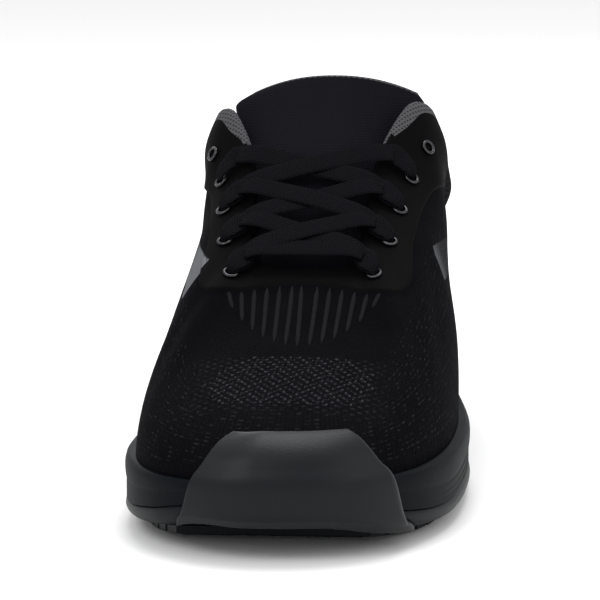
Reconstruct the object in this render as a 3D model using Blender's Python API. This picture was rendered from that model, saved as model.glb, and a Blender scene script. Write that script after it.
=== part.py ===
"""Safety sneaker, left shoe. Metres, +Z up, toe towards -Y, outer (lateral) side towards +X.

Sole and upper share one outline. The upper is one hollow wall: a grid whose columns run
round the foot from toe to heel on either side, and whose rows climb from the sole to the
edge of throat and collar.
"""

import math

import bmesh
import bpy
from mathutils import Matrix, Vector

# Lengths that a maker would set
LENGTH = 0.300
BALL_WIDTH = 0.1135
HEEL_WIDTH = 0.0865
TOE_OFFSET = 0.006
COLLAR_WIDTH = 0.091
COLLAR_HEIGHT = 0.128
OUTER_RISE = 0.0015
HEEL_HEIGHT = 0.034
FOREFOOT_HEIGHT = 0.025
TOE_SPRING = 0.009

LUG_HEIGHT = 0.0026
LUG_MARGIN = 0.0013
OUTSOLE_THICKNESS = 0.0065
GROOVE_DEPTH = 0.0009
TOE_UNDERCUT = 0.0065

UPPER_WALL = 0.0025
COLLAR_PAD = 0.0085
COLLAR_ROLL = 0.0016
EYESTAY_STEP = 0.0010
UPPER_INSET = 0.0036
TOE_INSET = 0.0008

BUMPER_THICKNESS = 0.0020
BUMPER_EDGE = 0.0008
BUMPER_GAP = 0.0007
BUMPER_SEAT = 0.001
CLIP_HEIGHT = 0.012
CLIP_THICKNESS = 0.0026
CLIP_LIFT = 0.0009
STRIP_THICKNESS = 0.0009

INSOLE_THICKNESS = 0.004
INSOLE_MARGIN = 0.0013
INSOLE_ROUND = 0.0012
INSOLE_TOE = 0.003
TONGUE_THICKNESS = 0.007
TONGUE_WIDTH = 0.070
TONGUE_HEIGHT = 0.139
TONGUE_LEAN = 0.004

LACE_WIDTH = 0.0085
LACE_THICKNESS = 0.0013
LACE_REACH = 0.0044
LACE_LIFT = 0.0010
LACE_CROWN = 0.0042
LACE_SPAN = 0.029
FIRST_ROW = 0.0072
ROW_STEP = 0.0190
EYELET_RADIUS = 0.0031
EYELET_BORE = 0.0017
EYELET_HEIGHT = 0.0009
EYELET_EDGE = 0.0145

CLEARANCE = 0.0003
SKIN_CLEARANCE = 0.0004

COLUMNS = 34
LOWER_ROWS = 8
UPPER_ROWS = 6
EYELET_ROWS = 5
LACED_ROWS = 4

# Plan of the sole: share of length from the toe, half width as a share of the ball width,
# middle line as a share of the ball width (outer side positive)
PLAN = (
    (0.00, 0.470, -0.010),
    (0.12, 0.482, -0.006),
    (0.30, 0.500, 0.004),
    (0.42, 0.482, 0.014),
    (0.56, 0.418, 0.024),
    (0.68, 0.390, 0.014),
    (0.82, 0.384, 0.002),
    (1.00, 0.376, 0.000),
)
TOE_ROUND = (0.25, 2.35)
HEEL_ROUND = (0.17, 2.25)

# Underside and top of the sole: share of length, share of toe spring, arch rise as a share
# of the lug height, top of the midsole between forefoot (0) and heel (1)
LIFT = (
    (0.00, 1.00, 0.0, 0.12),
    (0.06, 0.52, 0.0, 0.06),
    (0.13, 0.14, 0.0, 0.02),
    (0.20, 0.00, 0.0, 0.00),
    (0.42, 0.00, 0.0, 0.10),
    (0.52, 0.00, 0.9, 0.42),
    (0.62, 0.00, 0.9, 0.72),
    (0.70, 0.00, 0.0, 0.90),
    (0.94, 0.00, 0.0, 1.00),
    (1.00, 0.22, 0.0, 1.04),
)

# Side of the midsole: share of its height, offset in groove depths (outwards positive)
MIDSOLE_SIDE = (
    (0.00, -1.0), (0.05, 0.0), (0.11, 0.0), (0.14, -1.0), (0.17, 0.0), (0.24, 0.0),
    (0.27, -1.0), (0.30, 0.0), (0.40, 0.0), (0.43, -1.0), (0.47, 0.2), (0.78, 0.6),
    (0.93, 0.0), (1.00, -1.4),
)

# Side of the outsole: share of its height, offset in groove depths
OUTSOLE_SIDE = ((0.0, -3.4), (0.22, -0.6), (0.50, 0.5), (0.82, 0.6), (1.0, -0.6))

# Edge of throat and collar: share of the way round from toe to heel, share of length from
# the toe, half width as a share of the collar width, share of the collar height
OPENING = (
    (0.00, 0.417, 0.000, 0.594),
    (0.10, 0.417, 0.112, 0.595),
    (0.20, 0.428, 0.200, 0.608),
    (0.30, 0.470, 0.222, 0.668),
    (0.40, 0.537, 0.238, 0.770),
    (0.50, 0.600, 0.278, 0.886),
    (0.58, 0.650, 0.376, 0.988),
    (0.63, 0.686, 0.440, 0.972),
    (0.70, 0.735, 0.476, 0.878),
    (0.77, 0.795, 0.496, 0.796),
    (0.83, 0.853, 0.474, 0.808),
    (0.89, 0.906, 0.396, 0.896),
    (0.94, 0.938, 0.264, 0.926),
    (0.97, 0.953, 0.138, 0.900),
    (1.00, 0.960, 0.000, 0.885),
)

# Fullness of the wall between sole and edge: share of the way round, rise of the lower
# handle (share of collar height), its push outwards (share of collar width), reach of the
# upper handle towards the sole, its drop and its push outwards
FULLNESS = (
    (0.00, 0.180, -0.035, 0.40, 0.215, 0.000),
    (0.12, 0.190, -0.022, 0.40, 0.200, 0.000),
    (0.25, 0.242, 0.000, 0.42, 0.120, 0.046),
    (0.38, 0.273, 0.000, 0.36, 0.125, 0.138),
    (0.50, 0.312, 0.006, 0.25, 0.156, 0.184),
    (0.58, 0.320, 0.012, 0.12, 0.203, 0.172),
    (0.70, 0.219, 0.023, 0.00, 0.210, 0.060),
    (0.80, 0.156, 0.034, 0.00, 0.140, 0.014),
    (0.90, 0.188, 0.040, 0.00, 0.172, 0.040),
    (1.00, 0.219, 0.034, 0.00, 0.172, 0.046),
)

# Where the smooth eyestay begins and how proud it stands, and how far the collar is padded:
# share of the way round, share of the climb, share of the eyestay step, share of the pad
PANELS = (
    (0.00, 0.95, 1.0, 0.00),
    (0.12, 0.93, 1.0, 0.00),
    (0.20, 0.86, 1.0, 0.00),
    (0.30, 0.69, 1.0, 0.00),
    (0.40, 0.74, 1.0, 0.00),
    (0.52, 0.70, 1.0, 0.08),
    (0.60, 0.64, 1.0, 0.32),
    (0.68, 0.70, 0.0, 1.00),
    (1.00, 0.70, 0.0, 1.00),
)

# Toe bumper from the foot of the outsole to its top edge: level, way round of its inner
# and of its outer border
BUMPER = (
    (0.00, 0.108, 0.190),
    (0.44, 0.068, 0.128),
    (0.88, 0.045, 0.094),
    (1.00, 0.034, 0.080),
)
BUMPER_CLIMB = 0.235

# Tongue from its foot to its free top: share of length, share of collar height, share of
# tongue width, droop of the sides as a share of the width
TONGUE = (
    (0.395, 0.5354, 0.62, 0.08),
    (0.440, 0.6016, 0.70, 0.09),
    (0.500, 0.7015, 0.73, 0.10),
    (0.560, 0.8166, 0.75, 0.11),
    (0.610, 0.9209, 0.79, 0.12),
    (0.648, 1.0012, 0.90, 0.15),
    (0.672, 1.0610, 1.02, 0.19),
    (0.682, 1.0859, 0.88, 0.15),
)


def slopes(rows, column, flat_ends):
    """Slope of one column at each row of a table."""
    out = []
    for i in range(len(rows)):
        a = rows[max(i - 1, 0)]
        b = rows[min(i + 1, len(rows) - 1)]
        ends = i in (0, len(rows) - 1)
        out.append(0.0 if ends and flat_ends else (b[column] - a[column]) / (b[0] - a[0]))
    return out


def read(rows, share, column, flat_ends=True):
    """A column of a table at a share between its rows, as a smooth curve."""
    share = min(max(share, rows[0][0]), rows[-1][0])
    i = 0
    while i < len(rows) - 2 and share > rows[i + 1][0]:
        i += 1
    a, b = rows[i], rows[i + 1]
    width = b[0] - a[0]
    k = (share - a[0]) / width
    m = slopes(rows, column, flat_ends)
    return (
        (2 * k**3 - 3 * k**2 + 1) * a[column]
        + (k**3 - 2 * k**2 + k) * width * m[i]
        + (3 * k**2 - 2 * k**3) * b[column]
        + (k**3 - k**2) * width * m[i + 1]
    )


def round_end(distance, length, power):
    """Width left near an end of the sole, as on a superellipse."""
    if distance >= length:
        return 1.0
    rest = 1.0 - max(distance, 0.0) / length
    return max(1.0 - rest**power, 0.0) ** (1.0 / power)


def plan_point(share, side):
    """A point of the sole's outline, share of length from the toe."""
    toe = round_end(share, *TOE_ROUND)
    heel = round_end(1.0 - share, *HEEL_ROUND)
    taper = min(max((share - 0.5) / 0.3, 0.0), 1.0)
    width = read(PLAN, share, 1) * (BALL_WIDTH + taper * (HEEL_WIDTH / 0.7625 - BALL_WIDTH))
    middle = read(PLAN, share, 2) * BALL_WIDTH
    swing = TOE_OFFSET * max(1.0 - share / 0.45, 0.0) ** 1.5
    return Vector((middle - swing + side * width * toe * heel, LENGTH * (share - 0.5), 0.0))


def outline(side):
    """Outline from toe to heel on one side, in points closer at the ends."""
    steps = 600
    shares = [(1.0 - math.cos(math.pi * i / steps)) / 2.0 for i in range(steps + 1)]
    points = [plan_point(s, side) for s in shares]
    run = [0.0]
    for a, b in zip(points, points[1:]):
        run.append(run[-1] + (b - a).length)
    out = []
    at = 0
    for c in range(COLUMNS + 1):
        t = c / COLUMNS
        want = (t - 0.35 * math.sin(2.0 * math.pi * t) / (2.0 * math.pi)) * run[-1]
        while at < steps - 1 and run[at + 1] < want:
            at += 1
        k = (want - run[at]) / (run[at + 1] - run[at])
        out.append((points[at].lerp(points[at + 1], min(k, 1.0)), want / run[-1]))
    return out


def outward(points, index):
    """Level direction out of the outline at a point of a closed loop."""
    before = points[(index - 1) % len(points)]
    after = points[(index + 1) % len(points)]
    along = (after - before).normalized()
    return Vector((along.y, -along.x, 0.0))


def closed_outline():
    """Whole outline, from the toe along the outer side to the heel and back."""
    outer = outline(1.0)
    inner = outline(-1.0)
    loop = [p for p, _ in outer] + [p for p, _ in inner[-2:0:-1]]
    ways = [w for _, w in outer] + [w for _, w in inner[-2:0:-1]]
    sides = [1.0] * (COLUMNS + 1) + [-1.0] * (COLUMNS - 1)
    sides[0] = 0.0
    sides[COLUMNS] = 0.0
    return loop, ways, sides


LOOP, WAYS, SIDES = closed_outline()
NORMALS = [outward(LOOP, i) for i in range(len(LOOP))]
AROUND = len(LOOP)


def length_share(point):
    return point.y / LENGTH + 0.5


def underside(share):
    """Height of the outsole's base above the floor, lugs left out."""
    spring = read(LIFT, share, 1) * TOE_SPRING
    arch = read(LIFT, share, 2) * LUG_HEIGHT
    return LUG_HEIGHT + max(spring, 0.0) + max(arch, 0.0)


def outsole_top(share):
    return underside(share) + OUTSOLE_THICKNESS


def midsole_top(share):
    between = read(LIFT, share, 3)
    return FOREFOOT_HEIGHT + between * (HEEL_HEIGHT - FOREFOOT_HEIGHT)


def inset_at(way):
    """How far the upper stands in from the sole's edge."""
    k = min(max((way - 0.10) / 0.16, 0.0), 1.0)
    return TOE_INSET + (UPPER_INSET - TOE_INSET) * k * k * (3.0 - 2.0 * k)


def at_way(way, side):
    """Outline point and outward direction at a share of the way round, on one side."""
    order = range(COLUMNS + 1) if side >= 0 else [(AROUND - i) % AROUND for i in range(COLUMNS + 1)]
    order = list(order)
    ways = [WAYS[i] for i in order]
    k = 0
    while k < COLUMNS - 1 and ways[k + 1] < way:
        k += 1
    f = min(max((way - ways[k]) / (ways[k + 1] - ways[k]), 0.0), 1.0)
    point = LOOP[order[k]].lerp(LOOP[order[k + 1]], f)
    normal = NORMALS[order[k]].lerp(NORMALS[order[k + 1]], f).normalized()
    return point, normal


def wall_point(way, side, climb):
    """Outer face of the upper: 0 at the sole, 1 at the edge of throat or collar."""
    sole, normal = at_way(way, side)
    foot = sole - normal * inset_at(way)
    foot.z = midsole_top(length_share(sole)) + CLEARANCE
    throat = TOE_OFFSET * 0.4 * max(1.0 - (way / 0.64) ** 4, 0.0)
    edge = Vector((
        side * read(OPENING, way, 2, False) * COLLAR_WIDTH - throat,
        LENGTH * (read(OPENING, way, 1) - 0.5),
        read(OPENING, way, 3) * COLLAR_HEIGHT,
    ))
    edge.z += side * OUTER_RISE * math.exp(-(((way - 0.60) / 0.10) ** 2))
    level = Vector((foot.x - edge.x, foot.y - edge.y, 0.0))
    up = Vector((0.0, 0.0, COLLAR_HEIGHT))
    low = foot + up * read(FULLNESS, way, 1) + normal * COLLAR_WIDTH * read(FULLNESS, way, 2)
    high = edge + level * read(FULLNESS, way, 3) - up * read(FULLNESS, way, 4)
    high += normal * COLLAR_WIDTH * read(FULLNESS, way, 5)
    k = climb
    point = foot * (1 - k) ** 3 + low * 3 * k * (1 - k) ** 2 + high * 3 * k * k * (1 - k) + edge * k**3
    roll = read(PANELS, way, 3) * COLLAR_ROLL
    point += normal * roll * (math.exp(-(((k - 0.86) / 0.10) ** 2)) - math.exp(-(((k - 0.66) / 0.09) ** 2)))
    return point


def wall_normal(way, side, climb):
    """Outward direction of the upper's face."""
    step = 0.004
    a = wall_point(way, side, min(climb + step, 1.0)) - wall_point(way, side, max(climb - step, 0.0))
    if way < step:
        b = wall_point(step, 1.0, climb) - wall_point(step, -1.0, climb)
    elif way > 1.0 - step:
        b = wall_point(1.0 - step, -1.0, climb) - wall_point(1.0 - step, 1.0, climb)
    else:
        b = wall_point(way + step, side, climb) - wall_point(way - step, side, climb)
        b *= side
    return b.cross(a).normalized()


def climbs(way):
    """Rows of the upper: an even climb to the eyestay's seam, its step, and on to the edge."""
    seam = read(PANELS, way, 1)
    low = [seam * i / LOWER_ROWS for i in range(LOWER_ROWS + 1)]
    lip = 0.012
    high = [seam + lip + (1.0 - seam - lip) * i / UPPER_ROWS for i in range(UPPER_ROWS + 1)]
    return low, high


def raised(way, climb):
    """How proud the eyestay stands at a climb."""
    seam = read(PANELS, way, 1)
    return EYESTAY_STEP * read(PANELS, way, 2) if climb > seam + 1e-6 else 0.0


def skin_point(way, side, climb, off=0.0):
    """A point on the upper's outer face with its step, lifted by off."""
    lift = off + raised(way, climb)
    return wall_point(way, side, climb) + wall_normal(way, side, climb) * lift


def wall_depth(way, climb):
    """Thickness of the wall, with the padded collar."""
    pad = read(PANELS, way, 3) * COLLAR_PAD
    k = min(max((climb - 0.60) / 0.26, 0.0), 1.0)
    end = min(max((1.0 - climb) / 0.10, 0.0), 1.0)
    return UPPER_WALL + pad * k * k * (3.0 - 2.0 * k) * (0.45 + 0.55 * end)


def new_object(name, bm, material, smooth=40.0):
    """Turns a bmesh into a named object with its faces out."""
    bmesh.ops.connect_verts_nonplanar(bm, angle_limit=math.radians(0.3), faces=bm.faces)
    bmesh.ops.recalc_face_normals(bm, faces=bm.faces)
    mesh = bpy.data.meshes.new(name)
    bm.to_mesh(mesh)
    bm.free()
    mesh.shade_smooth()
    mesh.set_sharp_from_angle(angle=math.radians(smooth))
    mesh.materials.append(material)
    thing = bpy.data.objects.new(name, mesh)
    bpy.context.scene.collection.objects.link(thing)
    return thing


def material(name, colour, roughness, coat=0.0):
    made = bpy.data.materials.new(name)
    made.use_nodes = True
    shader = made.node_tree.nodes["Principled BSDF"]
    shader.inputs["Base Color"].default_value = (*colour, 1.0)
    shader.inputs["Roughness"].default_value = roughness
    shader.inputs["Coat Weight"].default_value = coat
    return made


def tube_mesh(rings, closed_section=True):
    """Joins rings of equal length; both ways round are closed, or the section has caps."""
    bm = bmesh.new()
    grid = [[bm.verts.new(p) for p in ring] for ring in rings]
    count = len(grid[0])
    spans = len(grid) if closed_section else len(grid) - 1
    for i in range(spans):
        a, b = grid[i], grid[(i + 1) % len(grid)]
        for j in range(count):
            n = (j + 1) % count
            bm.faces.new((a[j], a[n], b[n], b[j]))
    if not closed_section:
        bm.faces.new(grid[0])
        bm.faces.new(list(reversed(grid[-1])))
    return bm


def add_cap(bm, ring):
    """Closes a ring of the sole with strips across, outer point to inner point."""
    bm.faces.new((ring[1], ring[0], ring[-1]))
    for i in range(1, COLUMNS - 1):
        bm.faces.new((ring[i], ring[-i], ring[-i - 1], ring[i + 1]))
    bm.faces.new((ring[COLUMNS - 1], ring[-COLUMNS + 1], ring[COLUMNS]))


def undercut(way, level):
    """How far the outsole's wall draws in round the toe, most at its foot."""
    k = min(max(way / 0.36, 0.0), 1.0)
    return TOE_UNDERCUT * (1.0 - level) ** 1.6 * (1.0 - k * k * (3.0 - 2.0 * k))


def groove_share(way):
    """The side's grooves run out before the toe."""
    k = min(max((way - 0.16) / 0.30, 0.0), 1.0)
    return k * k * (3.0 - 2.0 * k)


def sole_ring(offset, height):
    """A ring of the sole: an offset for each way round and a height for each length share."""
    out = []
    for i, (p, n) in enumerate(zip(LOOP, NORMALS)):
        q = p + n * offset(WAYS[i])
        q.z = height(length_share(p))
        out.append(q)
    return out


def make_midsole(paint):
    """Foam midsole with the grooves of its side."""
    bm = bmesh.new()
    rings = []
    for share, grooves in MIDSOLE_SIDE:
        def height(s, k=share):
            low = outsole_top(s) + CLEARANCE
            return low + (midsole_top(s) - low) * k

        def offset(way, k=share, g=grooves):
            cut = g < 0.0 and 0.0 < k < 1.0
            return g * GROOVE_DEPTH * (groove_share(way) if cut else 1.0)
        rings.append([bm.verts.new(p) for p in sole_ring(offset, height)])
    for a, b in zip(rings, rings[1:]):
        for j in range(AROUND):
            n = (j + 1) % AROUND
            bm.faces.new((a[j], a[n], b[n], b[j]))
    add_cap(bm, rings[0])
    add_cap(bm, rings[-1])
    return new_object("midsole", bm, paint)


def make_outsole(paint):
    """Rubber outsole: stepped side, and lug blocks drawn down from its base."""
    bm = bmesh.new()
    rings = []
    for share, grooves in OUTSOLE_SIDE:
        def height(s, k=share):
            return underside(s) + OUTSOLE_THICKNESS * k

        def offset(way, k=share, g=grooves):
            return g * GROOVE_DEPTH - undercut(way, k)
        rings.append([bm.verts.new(p) for p in sole_ring(offset, height)])
    for a, b in zip(rings, rings[1:]):
        for j in range(AROUND):
            n = (j + 1) % AROUND
            bm.faces.new((a[j], a[n], b[n], b[j]))
    add_cap(bm, rings[-1])
    base = rings[0]
    across = 5
    lines = []
    for i in range(1, COLUMNS):
        a, b = base[i], base[-i]
        inner = [bm.verts.new(a.co.lerp(b.co, j / across)) for j in range(1, across)]
        lines.append([a, *inner, b])
    bm.faces.new([*lines[0], base[0]])
    bm.faces.new([*lines[-1], base[COLUMNS]])
    blocks = []
    for i, (a, b) in enumerate(zip(lines, lines[1:])):
        for j in range(across):
            face = bm.faces.new((a[j], a[j + 1], b[j + 1], b[j]))
            middle = length_share(face.calc_center_median())
            wide = 5 <= i < len(lines) - 3
            if wide and (middle < 0.47 or middle > 0.66):
                blocks.append(face)
    bmesh.ops.recalc_face_normals(bm, faces=bm.faces)
    bmesh.ops.inset_individual(bm, faces=blocks, thickness=LUG_MARGIN)
    moved = bmesh.ops.extrude_discrete_faces(bm, faces=blocks)["faces"]
    for face in moved:
        for v in face.verts:
            flat = underside(length_share(v.co)) - LUG_HEIGHT
            v.co.z -= LUG_HEIGHT
            if flat < LUG_HEIGHT * 0.02:
                v.co.z = 0.0
    return new_object("outsole", bm, paint, 30.0)


def make_upper(paint):
    """The hollow knit upper: outer face, rim, inner face and the foot that sits on the sole."""
    columns = []
    for i in range(AROUND):
        way, side = WAYS[i], SIDES[i]
        low, high = climbs(way)
        levels = low + high
        skin = [skin_point(way, side, k) for k in levels]
        back = []
        for k in levels:
            depth = wall_depth(way, k)
            back.append(wall_point(way, side, k) - wall_normal(way, side, k) * depth)
        back[0].z = skin[0].z
        rim = skin[-1].lerp(back[-1], 0.5)
        lift = (skin[-1] - skin[-2]).normalized() * (skin[-1] - back[-1]).length * 0.36
        inside = [back[j] for j in range(len(back) - 1, 0, -2)] + [back[0]]
        columns.append(skin + [rim + lift] + inside)
    bm = tube_mesh(columns)
    return new_object("upper", bm, paint)


def shell(name, paint, grid, thickness, edge, gap=SKIN_CLEARANCE):
    """A closed shell over a grid of (point, normal), thinner along its border."""
    bm = bmesh.new()
    last_i, last_j = len(grid) - 1, len(grid[0]) - 1
    low, high = [], []
    for i, row in enumerate(grid):
        near, far = [], []
        for j, (p, n) in enumerate(row):
            border = i in (0, last_i) or j in (0, last_j)
            near.append(bm.verts.new(p + n * gap))
            far.append(bm.verts.new(p + n * (gap + (edge if border else thickness))))
        low.append(near)
        high.append(far)
    for i in range(last_i):
        for j in range(last_j):
            bm.faces.new((high[i][j], high[i][j + 1], high[i + 1][j + 1], high[i + 1][j]))
            bm.faces.new((low[i][j], low[i + 1][j], low[i + 1][j + 1], low[i][j + 1]))
    border = [(0, j) for j in range(last_j)] + [(i, last_j) for i in range(last_i)]
    border += [(last_i, j) for j in range(last_j, 0, -1)] + [(i, 0) for i in range(last_i, 0, -1)]
    for (i, j), (k, m) in zip(border, border[1:] + border[:1]):
        bm.faces.new((low[i][j], low[k][m], high[k][m], high[i][j]))
    return new_object(name, bm, paint)


def signed(way):
    """A way round that is negative on the inner side, as its share and side."""
    return abs(way), (1.0 if way >= 0.0 else -1.0)


def grid_normals(points, outward_hint):
    """Directions out of a grid of points, from its own neighbours."""
    out = []
    for i, row in enumerate(points):
        line = []
        for j, p in enumerate(row):
            a = points[min(i + 1, len(points) - 1)][j] - points[max(i - 1, 0)][j]
            b = row[min(j + 1, len(row) - 1)] - row[max(j - 1, 0)]
            n = a.cross(b).normalized()
            line.append((p, n if n.dot(outward_hint) > 0 or n.dot(p - Vector((0, 0, 0.03))) > 0 else -n))
        out.append(line)
    return out


def make_bumper(paint):
    """Rubber toe bumper, from the foot of the outsole's wall up onto the toe of the upper."""
    across = 16
    wall_levels = (0.08, 0.22, 0.50, 0.86)
    climbs_up = [BUMPER_CLIMB * k / 5 for k in range(1, 6)]
    total = len(wall_levels) + 1 + len(climbs_up)
    rows = []
    for r in range(total):
        level = r / (total - 1)
        inner, outer = read(BUMPER, level, 1, False), read(BUMPER, level, 2, False)
        line = []
        for c in range(across + 1):
            way, side = signed((inner + outer) * c / across - inner)
            sole, normal = at_way(way, side)
            share = length_share(sole)
            edge = sole + normal * GROOVE_DEPTH * 0.6
            if r < len(wall_levels):
                proud = read(OUTSOLE_SIDE, wall_levels[r], 1, False) * GROOVE_DEPTH
                edge = sole + normal * (proud - undercut(way, wall_levels[r]))
                edge.z = underside(share) + OUTSOLE_THICKNESS * wall_levels[r]
            elif r == len(wall_levels):
                edge.z = midsole_top(share) - BUMPER_SEAT
            else:
                edge = wall_point(way, side, climbs_up[r - len(wall_levels) - 1])
            line.append(edge)
        rows.append(line)
    grid = grid_normals(rows, Vector((0, -1, 0)))
    return shell("toe_bumper", paint, grid, BUMPER_THICKNESS, BUMPER_EDGE, BUMPER_GAP)


def make_clip(paint):
    """Glossy clip round the heel, standing on the ledge of the midsole."""
    start = 0.66
    round_heel = [i for i in range(AROUND) if WAYS[i] >= start]
    rows = []
    for level in (0.0, 0.5, 1.0):
        line = []
        for i in round_heel:
            way, side = WAYS[i], SIDES[i]
            fade = min((way - start) / (1.0 - start) / 0.45, 1.0)
            tall = CLIP_HEIGHT * (0.25 + 0.75 * fade)
            foot = wall_point(way, side, 0.0).z + CLIP_LIFT
            climb = 0.0
            while wall_point(way, side, climb).z < foot + tall * level:
                climb += 0.002
            line.append((wall_point(way, side, climb), wall_normal(way, side, climb)))
        rows.append(line)
    return shell("heel_clip", paint, rows, CLIP_THICKNESS, CLIP_THICKNESS * 0.8)


def make_strip(name, paint, low_climb, high_climb, low_half, high_half):
    """One piece of the smooth strip down the back of the heel."""
    across, up = 6, 5
    rows = []
    for r in range(up + 1):
        climb = low_climb + (high_climb - low_climb) * r / up
        half = low_half + (high_half - low_half) * r / up
        line = []
        for c in range(across + 1):
            turn = 2.0 * c / across - 1.0
            way = 1.0 - half * abs(turn)
            side = 1.0 if turn >= 0 else -1.0
            line.append((wall_point(way, side, climb), wall_normal(way, side, climb)))
        rows.append(line)
    return shell(name, paint, rows, STRIP_THICKNESS, STRIP_THICKNESS * 0.6)


def make_insole(paint):
    """Footbed on the midsole, clear of the upper's inner face."""
    bm = bmesh.new()
    rings = []
    edge = UPPER_WALL + INSOLE_MARGIN
    for level, tuck in ((0.0, 0.0), (0.75, 0.0), (1.0, INSOLE_ROUND)):
        ring = []
        for i, (p, n) in enumerate(zip(LOOP, NORMALS)):
            share = length_share(p)
            toe = max(1.0 - WAYS[i] / 0.20, 0.0) * INSOLE_TOE
            q = p - n * (inset_at(WAYS[i]) + edge + tuck + toe)
            q.z = midsole_top(share) + CLEARANCE + INSOLE_THICKNESS * level
            ring.append(bm.verts.new(q))
        rings.append(ring)
    for a, b in zip(rings, rings[1:]):
        for j in range(AROUND):
            n = (j + 1) % AROUND
            bm.faces.new((a[j], a[n], b[n], b[j]))
    add_cap(bm, rings[0])
    add_cap(bm, rings[-1])
    return new_object("insole", bm, paint)


def tongue_middle(table, k):
    """Middle line of the tongue's face; what its height has to spare goes to the free top."""
    k = min(max(k, 0.0), 1.0)
    spare = TONGUE_HEIGHT - COLLAR_HEIGHT * TONGUE[-1][1]
    return Vector((
        TONGUE_LEAN * k**3 - TOE_OFFSET * 0.4 * (1.0 - k**3),
        LENGTH * (read(table, k, 1, False) - 0.5),
        COLLAR_HEIGHT * read(table, k, 2, False) + spare * max((k - 0.6) / 0.4, 0.0) ** 1.5,
    ))


def make_tongue(paint):
    """Padded tongue, from under the throat's front to its free top."""
    stations, half = 18, 6
    first, last = TONGUE[0][0], TONGUE[-1][0]
    rows = [((r[0] - first) / (last - first), *r) for r in TONGUE]
    steps = [i / (len(rows) - 1) for i in range(len(rows))]
    table = [(k, *r[1:]) for k, r in zip(steps, rows)]
    rings = []
    for s in range(stations + 1):
        k = s / stations
        centre = tongue_middle(table, k)
        ahead = tongue_middle(table, k + 0.01) - tongue_middle(table, k - 0.01)
        ahead = Vector((0.0, ahead.y, ahead.z)).normalized()
        face = Vector((0.0, -ahead.z, ahead.y))
        width = TONGUE_WIDTH * read(table, k, 3, False) / 2.0
        droop = TONGUE_WIDTH * read(table, k, 4, False)
        thick = TONGUE_THICKNESS * min(0.35 + 4.0 * k, 1.0) * (1.0 if k < 0.9 else 1.0 - 4.0 * (k - 0.9))
        front, back = [], []
        for j in range(-half, half + 1):
            q = j / half
            deep = thick * (1.0 - 0.72 * abs(q) ** 3)
            p = centre + Vector((q * width, 0.0, 0.0)) - face * droop * abs(q) ** 2.2
            front.append(p)
            back.append(p - face * deep)
        rings.append(front + back[::-1])
    bm = tube_mesh(rings, closed_section=False)
    return new_object("tongue", bm, paint)


def edge_lengths():
    """Distance along the throat's edge at each way round, from its front corner."""
    steps = 60
    out = [(0.18, 0.0)]
    for i in range(1, steps + 1):
        way = 0.18 + 0.44 * i / steps
        gap = (wall_point(way, 1.0, 1.0) - wall_point(out[-1][0], 1.0, 1.0)).length
        out.append((way, out[-1][1] + gap))
    return out


EDGE = edge_lengths()


def way_at(distance):
    """Way round at a distance up the throat's edge from its front corner."""
    for (a, low), (b, high) in zip(EDGE, EDGE[1:]):
        if distance <= high:
            return a + (b - a) * (distance - low) / (high - low)
    return EDGE[-1][0]


def from_edge(way, side, distance):
    """Climb of the point that lies a distance down from the edge of the throat."""
    climb, run = 1.0, 0.0
    here = wall_point(way, side, climb)
    while run < distance:
        climb -= 0.004
        there = wall_point(way, side, climb)
        run += (there - here).length
        here = there
    return climb


def lace_point(distance, across):
    """A point of the lace's plane: distance up the throat, -1 to 1 from inner to outer end."""
    way = way_at(distance)
    ends = []
    for side in (-1.0, 1.0):
        climb = from_edge(way, side, LACE_REACH)
        ends.append(skin_point(way, side, climb, LACE_LIFT))
    k = (across + 1.0) / 2.0
    p = ends[0].lerp(ends[1], k)
    up = (wall_normal(way, 1.0, 0.97) + wall_normal(way, -1.0, 0.97)).normalized()
    return p + up * LACE_CROWN * (1.0 - across**6), up


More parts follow.
